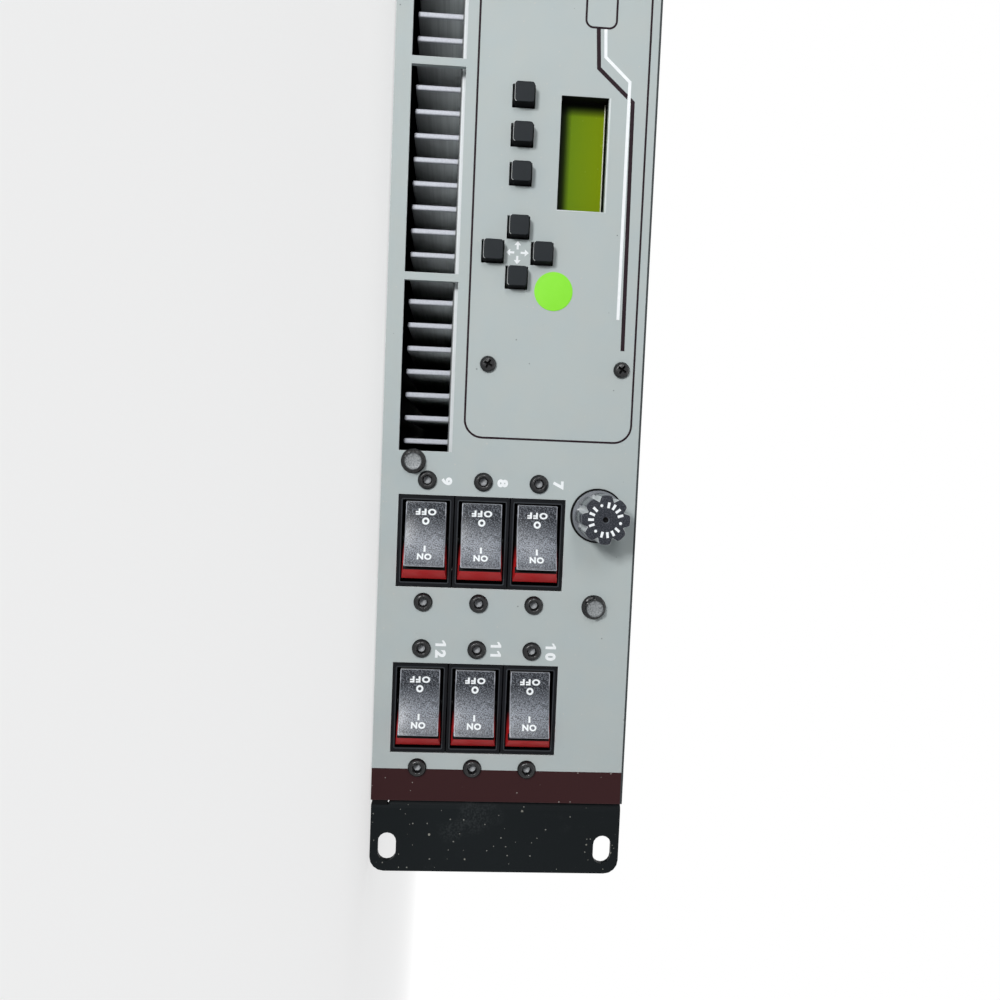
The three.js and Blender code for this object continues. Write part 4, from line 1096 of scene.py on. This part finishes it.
def rocker_core_mesh():
    """The red body with its sloping ends and keel, and the pin through it."""
    half = ROCKER_FACE_LENGTH / 2
    slope = (ROCKER_BASE_LENGTH / 2 - half) / ROCKER_END_HEIGHT
    neck_y = -ROCKER_REACH + ROCKER_CAP_THICKNESS
    shoulder_y = neck_y + ROCKER_NECK_HEIGHT
    end_y = -ROCKER_REACH + ROCKER_END_HEIGHT
    shoulder = half + slope * (ROCKER_CAP_THICKNESS + ROCKER_NECK_HEIGHT)
    neck = half - ROCKER_NECK_INSET
    land = shoulder - ROCKER_GROOVE_LAND
    groove_y = shoulder_y + ROCKER_GROOVE_DEPTH
    outline = [(-shoulder, shoulder_y), (-neck, shoulder_y)]
    outline += arc_points(neck, ROCKER_CAP_THICKNESS)
    outline += [(neck, groove_y), (land, groove_y), (land, shoulder_y), (shoulder, shoulder_y)]
    base, keel = ROCKER_BASE_LENGTH / 2, ROCKER_KEEL_LENGTH / 2
    outline += [(base, end_y), (keel, ROCKER_KEEL_DEPTH)]
    outline += [(-keel, ROCKER_KEEL_DEPTH), (-base, end_y)]

    def half_width(y):
        """Half the body's width: it is drawn in at the neck, and grows from there to its ends."""
        if y < shoulder_y - ALMOST_NONE:
            return ROCKER_CAP_WIDTH / 2 - ROCKER_NECK_INSET / 2
        share = min((y - shoulder_y) / (end_y - shoulder_y), 1)
        return (ROCKER_CAP_WIDTH * (1 - share) + ROCKER_BODY_WIDTH * share) / 2 + ROCKER_SWELL

    def pick(centre, normal):
        """The neck under the cap and the groove beside it are painted dark as shade."""
        beside = neck - GROOVE_MARGIN < centre.x < land + ROCKER_GROOVE_LAND * 0.8
        return int(beside and centre.y < groove_y + GROOVE_MARGIN)

    body = prism("rocker_body", outline, half_width, ROCKER_EDGE / 2)
    painted(body, ("rocker_plastic", "rubber"), pick)
    ends = [(circle(ROCKER_PIN_RADIUS), s * ROCKER_PIN_LENGTH / 2) for s in (-1, 1)]
    pin = ringed("rocker_pin", ends, 16)
    pin.transform(Matrix.Rotation(math.pi / 2, 4, "X"))
    return join("rocker_core", body, pin, 40)


def rocker_marks_mesh():
    """OFF, a ring, a bar and ON, read with the rocker's ON end up."""
    marks = (
        (OFF_SHARE, words("OFF", OFF_WIDTH, MARK_HEIGHT, MARK_WEIGHT, 1.25)),
        (RING_SHARE, ring_line(RING_RADIUS - MARK_STROKE / 2, MARK_STROKE)),
        (BAR_SHARE, bar(MARK_STROKE, BAR_LENGTH)),
        (ON_SHARE, words("ON", ON_WIDTH, MARK_HEIGHT, MARK_WEIGHT, 1.15)),
    )
    start = -ROCKER_FACE_LENGTH / 2
    flats = [moved(flat, 0, start + share * ROCKER_FACE_LENGTH) for share, flat in marks]

    def on_face(point):
        return Vector((point.y, face_arc(point.y) - PRINT_PROUD, -point.x))

    return laid("rocker_marks", flats, on_face)


def make_rockers():
    cap, core, marks = rocker_cap_mesh(), rocker_core_mesh(), rocker_marks_mesh()
    across = POCKET_HALF_WIDTH + LIP_WIDTH / 2
    along = POCKET_HALF_LENGTH + LIP_WIDTH / 2
    pocket = box_line(-along, along, -across, across, LIP_WIDTH, 4)
    pocket_lip = lip("pocket_lip", pocket, LIP_WIDTH, LIP_HEIGHT)
    rest = Matrix.Rotation(ROCKER_REST_TILT, 4, "Z")
    for number in BREAKERS:
        breaker, rocker = f"breaker_{number}", f"rocker_{number}"
        bezel = at_middle(breaker, face_y + BEZEL_SETBACK)
        piece(f"pocket_lip_{number}", pocket_lip, "lip_plastic", place=bezel)
        place = at_middle(breaker, face_y + ROCKER_PIVOT_DEPTH) @ rest
        piece(f"rocker_core_{number}", core, "rocker_plastic", rocker, place, replaces=rocker)
        piece(f"rocker_cap_{number}", cap, "rocker_face", rocker, place, slot="rocker_plastic")
        piece(f"rocker_marks_{number}", marks, "white_ink", rocker, place)


# Keys


def key_mesh(width, proud, depth):
    """A key's cap about its own middle on the panel's face: it narrows, and its top is dished."""
    half = width / 2
    top = half * KEY_TOP_SHARE
    profile = [(half, depth), (half, 0), (top, -proud), (top * 0.02, -proud + KEY_DISH)]
    rings = []
    for radius, y in soften([(r / MM, y / MM) for r, y in profile], KEY_TOP_EDGE / MM, 5):
        corner = KEY_CORNER * min(radius * MM / half, 1)
        rings.append((square(radius * MM, corner), y * MM))
    mesh = ringed("key_cap", rings, 64)

    def pick(centre, normal):
        """The top is plain, the skirt painted dark as shade, and the lower edge of the top
        painted pale as a highlight.
        """
        if normal.y < -0.9:
            return 0
        return 2 if normal.y < -0.35 and normal.z < -0.3 else int(normal.y > -0.6)

    return painted(mesh, ("key_plastic", "key_shade", "key_edge_highlight"), pick)


def make_keys():
    low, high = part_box(KEYS[0])
    mesh = key_mesh(high.x - low.x, face_y - low.y, KEY_SKIRT)
    for name in KEYS:
        place = at_middle(name, face_y)
        piece(f"{name}_cap", mesh, "key_plastic", name, place, replaces=name)


# Fuse holder and cap


def make_fuse_holder():
    """The holder's flange, barrel and nut, finer than the CAD node that they replace."""
    low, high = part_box("fuse_holder")
    place = at_middle("fuse_holder", 0)
    gasket = (high.x - low.x) / 2
    flange = gasket - GASKET_RIM
    front, step = low.y, low.y + FLANGE_STEP_DEPTH
    seat = face_y - GASKET_DEPTH
    back = high.y - HOLDER_TAIL
    bottom = back - HOLDER_FLOOR
    profile = [
        (HOLDER_BORE, front),
        (flange - FLANGE_STEP_WIDTH, front),
        (flange - FLANGE_STEP_WIDTH, step),
        (flange, step),
        (flange, seat),
        (HOLDER_BARREL, seat),
        (HOLDER_BARREL, back),
        (ALMOST_NONE, back),
        (ALMOST_NONE, bottom),
        (HOLDER_BORE, bottom),
        (HOLDER_BORE, front),
    ]
    shell = turned("fuse_shell", profile, 0.15 * MM, 2)
    behind = panel_high.y + NUT_GAP
    ends = (behind, behind + NUT_THICKNESS)
    inner, outer = circle(HOLDER_BARREL), hexagon(NUT_HALF_WIDTH)
    nut_rings = [(inner, ends[0]), (outer, ends[0]), (outer, ends[1]), (inner, ends[1])]
    nut = ringed("fuse_nut", nut_rings, closed=False)
    mesh = join("fuse_holder_fine", shell, nut)
    piece("fuse_holder_fine", mesh, "fuse_plastic", place=place, replaces="fuse_holder")
    corners = ((HOLDER_BARREL, seat), (gasket, seat), (gasket, face_y), (HOLDER_BARREL, face_y))
    washer = turned("fuse_gasket", [*corners, corners[0]], 0.2 * MM, 3)
    piece("fuse_gasket", washer, "rubber", place=place)


def knob_rings(radius, front, back):
    """The rings of the lobed knob, from its base to the bottom of the dimple in its face."""
    quarter = [step / KNOB_EDGE_STEPS * math.pi / 2 for step in range(KNOB_EDGE_STEPS + 1)]
    edge = [(KNOB_EDGE * (1 - math.sin(t)), KNOB_EDGE * (1 - math.cos(t))) for t in quarter]
    rings = [(lobes(radius - inward, KNOB_FLUTE * 0.5), back - up) for inward, up in edge]
    rings.append((lobes(radius * 0.99, KNOB_FLUTE * 0.6), back - KNOB_LENGTH * 0.25))
    rings.append((lobes(radius * 0.985, KNOB_FLUTE), back - KNOB_LENGTH * 0.35))
    rings += [(lobes(radius - inward, KNOB_FLUTE), front + down) for down, inward in edge]
    rings.append((circle(KNOB_DIMPLE), front))
    rings.append((circle(KNOB_DIMPLE * 0.75), front + KNOB_DIMPLE_RIM))
    rings.append((circle(KNOB_DIMPLE * 0.1), front + KNOB_DIMPLE_DEPTH))
    return rings


def spun(flat, radius, angle):
    """Sets a flat print at a radius from the middle, turned to face outward."""
    return moved(flat, radius * math.cos(angle), radius * math.sin(angle), angle - math.pi / 2)


def knob_marks():
    """A ring of short strokes, with a dot at each third of it."""
    flats = []
    for third in range(3):
        turn = math.radians(KNOB_MARK_TURN + 120 * third)
        flats.append(spun(disc(KNOB_DOT_RADIUS), KNOB_MARK_RADIUS, turn))
        for mark in range(4):
            angle = turn + math.radians(KNOB_MARK_START + KNOB_MARK_PITCH * mark)
            flats.append(spun(bar(KNOB_MARK_WIDTH, KNOB_MARK_HEIGHT), KNOB_MARK_RADIUS, angle))
    return flats


def make_fuse_cap():
    low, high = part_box("fuse_cap")
    place = at_middle("fuse_cap", 0)
    radius = (high.x - low.x) / 2
    front = low.y
    back = front + KNOB_LENGTH
    knob = ringed("fuse_knob", knob_rings(radius, front, back), 160)
    edge = front + KNOB_EDGE * 0.3

    def pick(centre, normal):
        """The knob's face is matt, the bottom of the hole in it painted dark as shade, and its
        flutes painted pale as a highlight.
        """
        if from_middle(centre) < KNOB_DIMPLE:
            return 2 if from_middle(centre) < KNOB_DIMPLE * 0.6 else 0
        if centre.y < edge:
            return 1
        return 3 if from_middle(centre) < radius - KNOB_FLUTE * 0.3 else 0

    painted(knob, ("knob_side", "knob_face", "rubber", "knob_flute"), pick)
    round_stem = circle(KNOB_STEM_RADIUS)
    stem = ringed("fuse_stem", [(round_stem, back - KNOB_STEM_OVERLAP), (round_stem, high.y)])
    mesh = join("fuse_cap_fine", knob, stem)
    body = "fuse_cap"
    piece("fuse_cap_fine", mesh, "fuse_plastic", body, place, replaces="fuse_cap")

    def on_face(point):
        return Vector((point.x, front - PRINT_PROUD, point.y))

    marks = laid("fuse_cap_marks", knob_marks(), on_face)
    piece("fuse_cap_marks", marks, "white_ink", body, place)


# Cable bushings


def make_bushings():
    for side in SIDES:
        name = f"cable_bushing_{side}"
        low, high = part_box(name)
        outer = (high.x - low.x) / 2
        bore, neck = outer - BUSHING_BORE_INSET, outer - BUSHING_NECK_INSET
        front, back = low.y, high.y
        flange = back - BUSHING_FLANGE_THICKNESS
        profile = [
            (bore, back),
            (bore, front),
            (neck - BUSHING_TAPER, front),
            (neck, front + BUSHING_TAPER_LENGTH),
            (neck, flange),
            (outer, flange),
            (outer, back),
            (bore, back),
        ]
        mesh = turned(name, profile, 0.8 * MM, 3)
        piece(f"{name}_fine", mesh, "bushing_plastic", place=at_middle(name, 0), replaces=name)


# Screws


def socket_screw_mesh():
    """A button head with a hexagonal socket on a short shank, its head from Y = 0 towards -Y."""
    shank = [(1.62, 1.3), (1.62, 0)]
    head = [(3.2, 0), (3.2, -0.5), (3.02, -0.95), (2.65, -1.35), (2.3, -1.55), (2.0, -1.6)]
    rings = rounds([*shank, *head, (1.75, -1.5)])
    rings += [(hexagon(1.42 * MM), -1.3 * MM), (hexagon(1.36 * MM), 0.3 * MM)]
    rings += rounds([(1.25, 0.35), (1.0, 0.55), (0.7, 0.72), (0.35, 0.84), (0.05, 0.88)])
    mesh = ringed("socket_screw", rings)

    def pick(centre, normal):
        """The head's side and its socket's walls are dull and painted dark as shade; the socket's
        bottom is painted pale as the glint where the lamp reaches into it.
        """
        if 0.33 * MM < centre.y < 1 * MM and from_middle(centre) < 1.3 * MM:
            return 2
        return int(from_middle(centre) > 3.05 * MM or from_middle(centre) < 1.6 * MM)

    return painted(mesh, ("screw_black", "rubber", "socket_steel"), pick)


def cross_screw_mesh():
    """A pan head with a cross recess."""
    rings = rounds([(2.7, 0), (2.75, -0.5), (2.6, -1.05), (2.2, -1.5), (1.85, -1.7)])
    rings += [(cross(1.55 * MM, 0.38 * MM), -1.8 * MM), (cross(1.2 * MM, 0.25 * MM), -0.7 * MM)]
    rings += rounds([(0.1, -0.5)])
    mesh = ringed("cross_screw", rings, 96)

    def pick(centre, normal):
        """The recess and the foot of the head are dull and painted dark as shade."""
        recess = from_middle(centre) < 1.5 * MM and centre.y > -1.6 * MM
        return int(recess or centre.y > -0.4 * MM)

    return painted(mesh, ("screw_black", "rubber"), pick)


def hex_screw_mesh():
    """A hexagon head with a rough dished top on a round flange."""
    rings = rounds([(4.25, 0), (4.25, -0.35), (4.0, -0.75), (3.6, -0.95)])
    rings += [(hexagon(3.1 * MM), -1.1 * MM), (hexagon(3.1 * MM), -3.1 * MM)]
    rings += rounds([(3.05, -3.35), (2.85, -3.35), (2.6, -2.7), (1.2, -2.4), (0.1, -2.5)])
    mesh = ringed("hex_screw", rings)

    def pick(centre, normal):
        """The dish in the top is rough, and the rest is black."""
        return int(from_middle(centre) < 2.86 * MM and centre.y < -2 * MM)

    return painted(mesh, ("screw_black", "screw_dish"), pick)


def make_breaker_screws():
    """A socket screw to either side of each breaker."""
    mesh = socket_screw_mesh()
    for number in BREAKERS:
        for side, sign in (("a", -1), ("b", 1)):
            aside = Matrix.Translation((sign * BREAKER_SCREW_SPACING / 2, 0, 0))
            turn = Matrix.Rotation(math.radians(SOCKET_TURN * number * sign), 4, "Y")
            place = at_middle(f"breaker_{number}", screw_y) @ aside @ turn
            piece(f"socket_screw_{number}{side}", mesh, "screw_black", place=place)


def make_panel_screws():
    """The cross heads over the control board, and the hexagon heads at the outer ends of the
    vents and by the upper breakers."""
    crossed, hexed = cross_screw_mesh(), hex_screw_mesh()
    board_low, board_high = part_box("control_board")
    board_x = board_high.x - BOARD_SCREW_INSET
    sink_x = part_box("heat_sink")[1].x - SINK_SCREW_INSET
    tab_x = middle("breaker_7").x + BREAKER_SCREW_SPACING / 2
    turns = CROSS_TURNS
    screws = (
        ("cross_screw", "low", crossed, board_x, board_low.z + BOARD_SCREW_RISE, turns[0]),
        ("cross_screw", "high", crossed, board_x, board_high.z - BOARD_SCREW_RISE, turns[1]),
        ("hex_screw", "low", hexed, sink_x, panel_low.z + HEX_SCREW_RISE, 0),
        ("hex_screw", "high", hexed, tab_x, panel_high.z - HEX_SCREW_DROP, 0),
    )
    for side, sign in SIDES.items():
        for kind, level, mesh, x, z, degrees in screws:
            turn = Matrix.Rotation(math.radians(degrees), 4, "Y")
            place = Matrix.Translation((sign * x, screw_y, z)) @ turn
            piece(f"{kind}_{side}_{level}", mesh, "screw_black", place=place)


def facing(spot, direction):
    """Places a screw's head, drawn towards -Y, and turns it another way."""
    turn = Vector((0, -1, 0)).rotation_difference(Vector(direction))
    return Matrix.Translation(spot) @ turn.to_matrix().to_4x4()


def make_case_screws():
    """Pan heads that hold the floor and the cover to the sides, and the fans to the rear."""
    mesh = cross_screw_mesh()
    mesh.name = "case_screw"
    sheet_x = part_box("chassis_floor")[1].x + SIDE_THICKNESS + SIDE_GAP
    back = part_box("rear_panel")[1].y
    for side, sign in SIDES.items():
        low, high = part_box(f"{side}_side")
        for level, z in (("low", low.z + CASE_SCREW_INSET), ("high", high.z - CASE_SCREW_INSET)):
            for number, share in enumerate(CASE_SCREW_SHARES):
                spot = (sign * sheet_x, low.y + (high.y - low.y) * share, z)
                place = facing(spot, (sign, 0, 0))
                piece(f"case_screw_{side}_{level}_{number}", mesh, "screw_black", place=place)
        fan = middle(f"fan_frame_{side}")
        for number, (across, up) in enumerate(((-1, -1), (1, -1), (1, 1), (-1, 1))):
            spot = (fan.x + across * FAN_SCREW_REACH, back, fan.z + up * FAN_SCREW_REACH)
            place = facing(spot, (0, 1, 0))
            piece(f"fan_screw_{side}_{number}", mesh, "screw_black", place=place)


# Prints on the front


def in_metres(points):
    return [(x * MM, z * MM) for x, z in points]


def channel_number(number):
    """A breaker's number, above the screw on its inner side. Its digits 1 are plain strokes."""
    centre = middle(f"breaker_{number}")
    text = str(number)
    x = centre.x - math.copysign(BREAKER_SCREW_SPACING / 2 - NUMBER_SHIFT, centre.x)
    z = centre.z - mid_z + NUMBER_RISE
    flats = []
    for place, digit in enumerate(text):
        shift = (place - (len(text) - 1) / 2) * NUMBER_PITCH
        flat = digit_one(NUMBER_HEIGHT)
        if digit != "1":
            flat = words(digit, None, NUMBER_HEIGHT, NUMBER_WEIGHT)
        flats.append(moved(flat, x + shift, z))
    return flats


def key_arrows():
    """Four arrows between the arrow keys."""
    x = middle("key_arrow_up").x
    z = middle("key_arrow_left").z - mid_z
    flats = []
    for quarter in range(4):
        turn = quarter * math.pi / 2
        across, up = -math.sin(turn) * ARROW_REACH, math.cos(turn) * ARROW_REACH
        flats.append(moved(arrow(ARROW_SIZE), x + across, z + up, turn))
    return flats


def make_prints():
    frame_line = box_line(
        -FRAME_LINE_X, FRAME_LINE_X, FRAME_LINE_LOW, FRAME_LINE_HIGH, FRAME_LINE_CORNER
    )
    title_line = box_line(*(value * MM for value in TITLE_BOX), TITLE_BOX_CORNER)
    dark = [
        ribbon(frame_line, FRAME_LINE_WIDTH, closed=True),
        ribbon(title_line, TITLE_LINE_WIDTH, closed=True),
        ribbon(in_metres(DARK_STRIPE), DARK_STRIPE_WIDTH),
    ]
    piece("dark_prints", laid("dark_prints", dark, on_front), "dark_ink")
    pale = [ribbon(in_metres(PALE_STRIPE), PALE_STRIPE_WIDTH)]
    for number in BREAKERS:
        pale += channel_number(number)
    pale += key_arrows()
    mesh = laid("pale_prints", pale, lambda p: on_front(p, 2 * PRINT_PROUD))
    piece("pale_prints", mesh, "white_ink")


def make_sticker():
    thickness, outer = STICKER_THICKNESS, circle(STICKER_RADIUS)
    rings = [(outer, 0), (outer, -thickness * 0.8), (circle(STICKER_TOP_RADIUS), -thickness)]
    mesh = ringed("sticker", rings, 72)
    x, z = STICKER_PLACE
    place = Matrix.Translation((x * MM, face_y - PRINT_PROUD, mid_z + z * MM))
    piece("sticker", mesh, "lime_paper", place=place)


# Thin trim, some of it painted highlight and painted shade


def make_display_strip():
    """The thin pale edge of the display, along its upper side."""
    left, right, low, high = window_edges()
    glass_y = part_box("lcd_glass")[0].y
    half = WINDOW_STRIP / 2
    z = high - WINDOW_BORDER
    near = (left - WINDOW_LIP / 2, glass_y - WINDOW_STRIP, z - half)
    block("display_strip", near, (right, glass_y, z + half), 0.06 * MM, "cream_edge")


def make_window_rim():
    """The window's edge, raised a little by the punch, with a pale strip along its upper side and
    its right end that is a painted highlight."""
    left, right, low, high = window_edges()
    front, behind = face_y - RIM_PROUD, face_y + RIM_DEPTH
    end = right + RIM_END
    upper = ((left, front, high), (end, behind, high + WINDOW_RIM))
    block("window_highlight_rim_upper", *upper, 0.05 * MM, "bare_edge")
    block("window_highlight_rim_right", (right, front, low), (end, behind, high), 0.05 * MM, "bare_edge")


def make_window_liner():
    """A black liner on the left edge of the display's window: painted shade over that cut edge.
    """
    left, right, low, high = window_edges()
    near = (left + LINER_GAP, face_y + LINER_SETBACK, low + LINER_INSET)
    far = (left + WINDOW_LINER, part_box("lcd_glass")[0].y, high - LINER_INSET)
    block("window_shade_liner", near, far, 0.04 * MM, "rubber")


def make_relief_plugs():
    """A dark plug in the relief cut at the low end of each ear's bend: painted shade in that gap.
    """
    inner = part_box("chassis_floor")[1].x + SIDE_GAP
    ends = (inner + PLUG_INSET, inner + SIDE_THICKNESS + PLUG_PROUD)
    for side, sign in SIDES.items():
        left, right = sorted(sign * x for x in ends)
        near = (left, face_y + PLUG_FRONT, panel_low.z + PLUG_LOW)
        far = (right, face_y + PLUG_BACK, panel_low.z + PLUG_HIGH)
        block(f"relief_shade_plug_{side}", near, far, 0.1 * MM, "rubber")


def make_floor_seal():
    """A foam strip that closes the joint between the floor and the rear panel, from inside."""
    low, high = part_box("rear_panel")
    near = (low.x + SEAL_INSET, low.y - SEAL_WIDTH, low.z - SEAL_DROP)
    far = (high.x - SEAL_INSET, low.y - SEAL_GAP, low.z + SEAL_RISE)
    block("floor_seal", near, far, 0.3 * MM, "rubber")


# Camera, floor and light


def stand(name, data, matrix):
    """Adds a camera, a lamp or a floor to the scene."""
    made = bpy.data.objects.new(name, data)
    bpy.context.scene.collection.objects.link(made)
    made.matrix_world = matrix
    return made


def make_camera():
    """The photograph was taken close to the right half, with the camera turned a quarter."""
    data = bpy.data.cameras.new("camera")
    data.sensor_width = 36
    data.lens = 30.13
    data.clip_start = 0.01
    place = Matrix.Translation((0.0911, -0.47495, 0.02465))
    forward = Vector((0.06262, 0.99647, 0.05584)).normalized()
    right = Vector((-0.04124, -0.05332, 0.99773)).normalized()
    up = right.cross(forward)
    turn = Matrix((right, up, -forward)).transposed().to_4x4()
    bpy.context.scene.camera = stand("camera", data, place @ turn)


def make_floor():
    """A pale floor that shows the object's shadow near it and fades to white further off."""
    size = 6
    drop = 0.5 * MM
    mesh = bpy.data.meshes.new("floor")
    corners = [(-size, -size, 0), (size, -size, 0), (size, size, 0), (-size, size, 0)]
    mesh.from_pydata(corners, [], [(0, 1, 2, 3)])
    floor = stand("floor", mesh, Matrix.Translation((0, 0, -drop)))
    floor.visible_shadow = False
    matt = Finish("floor_white", (0.8, 0.8, 0.8, 1), 0.9)
    glow = matt.node("ShaderNodeEmission")
    glow.inputs["Strength"].default_value = FLOOR_GLOW
    distance = matt.node("ShaderNodeVectorMath", operation="LENGTH")
    matt.link(matt.place, distance.inputs[0])
    far = distance.outputs["Value"]
    white = matt.between(far, *FLOOR_FADE, FLOOR_WHITE_SHARE, 1, "SMOOTHSTEP")
    share = matt.sum("MULTIPLY", matt.background_rays(), white)
    output = matt.tree.nodes["Material Output"]
    matt.surface(share, matt.shader.outputs["BSDF"], glow.outputs["Emission"], output)
    mesh.materials.append(matt.material)


def make_world():
    """A white surround that the camera, mirrors and glass see, and a softer one that lights."""
    world = bpy.data.worlds.new("surround")
    world.use_nodes = True
    world.node_tree.nodes.clear()
    sky = Wiring(world.node_tree)
    surrounds = []
    for colour, strength in (((0.94, 0.97, 1, 1), 0.25), ((1, 1, 1, 1), 1)):
        surround = sky.node("ShaderNodeBackground")
        surround.inputs["Color"].default_value = colour
        surround.inputs["Strength"].default_value = strength
        surrounds.append(surround.outputs["Background"])
    sky.surface(sky.background_rays(), *surrounds, sky.node("ShaderNodeOutputWorld"))
    bpy.context.scene.world = world


def make_lights():
    front = (0.1, face_y, mid_z)
    # Each lamp's name, place, target, size and power
    lamps = (
        ("key_lamp", (-0.26, -1.05, -0.36), front, (0.2, 0.16), 6.5),
        ("fill_lamp", (-0.45, -1.0, 0.1), front, (0.35, 0.16), 1.7),
        ("top_lamp", (0, 0.2, 1.6), (0, 0, 0), (1.6, 1.6), 9),
    )
    for name, place, target, size, power in lamps:
        data = bpy.data.lights.new(name, "AREA")
        data.shape = "RECTANGLE"
        data.size, data.size_y = size
        data.energy = power
        aim = (Vector(target) - Vector(place)).to_track_quat("-Z", "Y")
        lamp = stand(name, data, Matrix.Translation(place) @ aim.to_matrix().to_4x4())
        lamp.visible_camera = False


make_camera()
dress_nodes()
make_rockers()
make_keys()
make_fuse_holder()
make_fuse_cap()
make_bushings()
make_breaker_screws()
make_panel_screws()
make_case_screws()
make_prints()
make_display_strip()
make_window_rim()
make_window_liner()
make_relief_plugs()
make_floor_seal()
make_sticker()
make_floor()
make_world()
make_lights()
bpy.context.scene.view_settings.view_transform = "Standard"
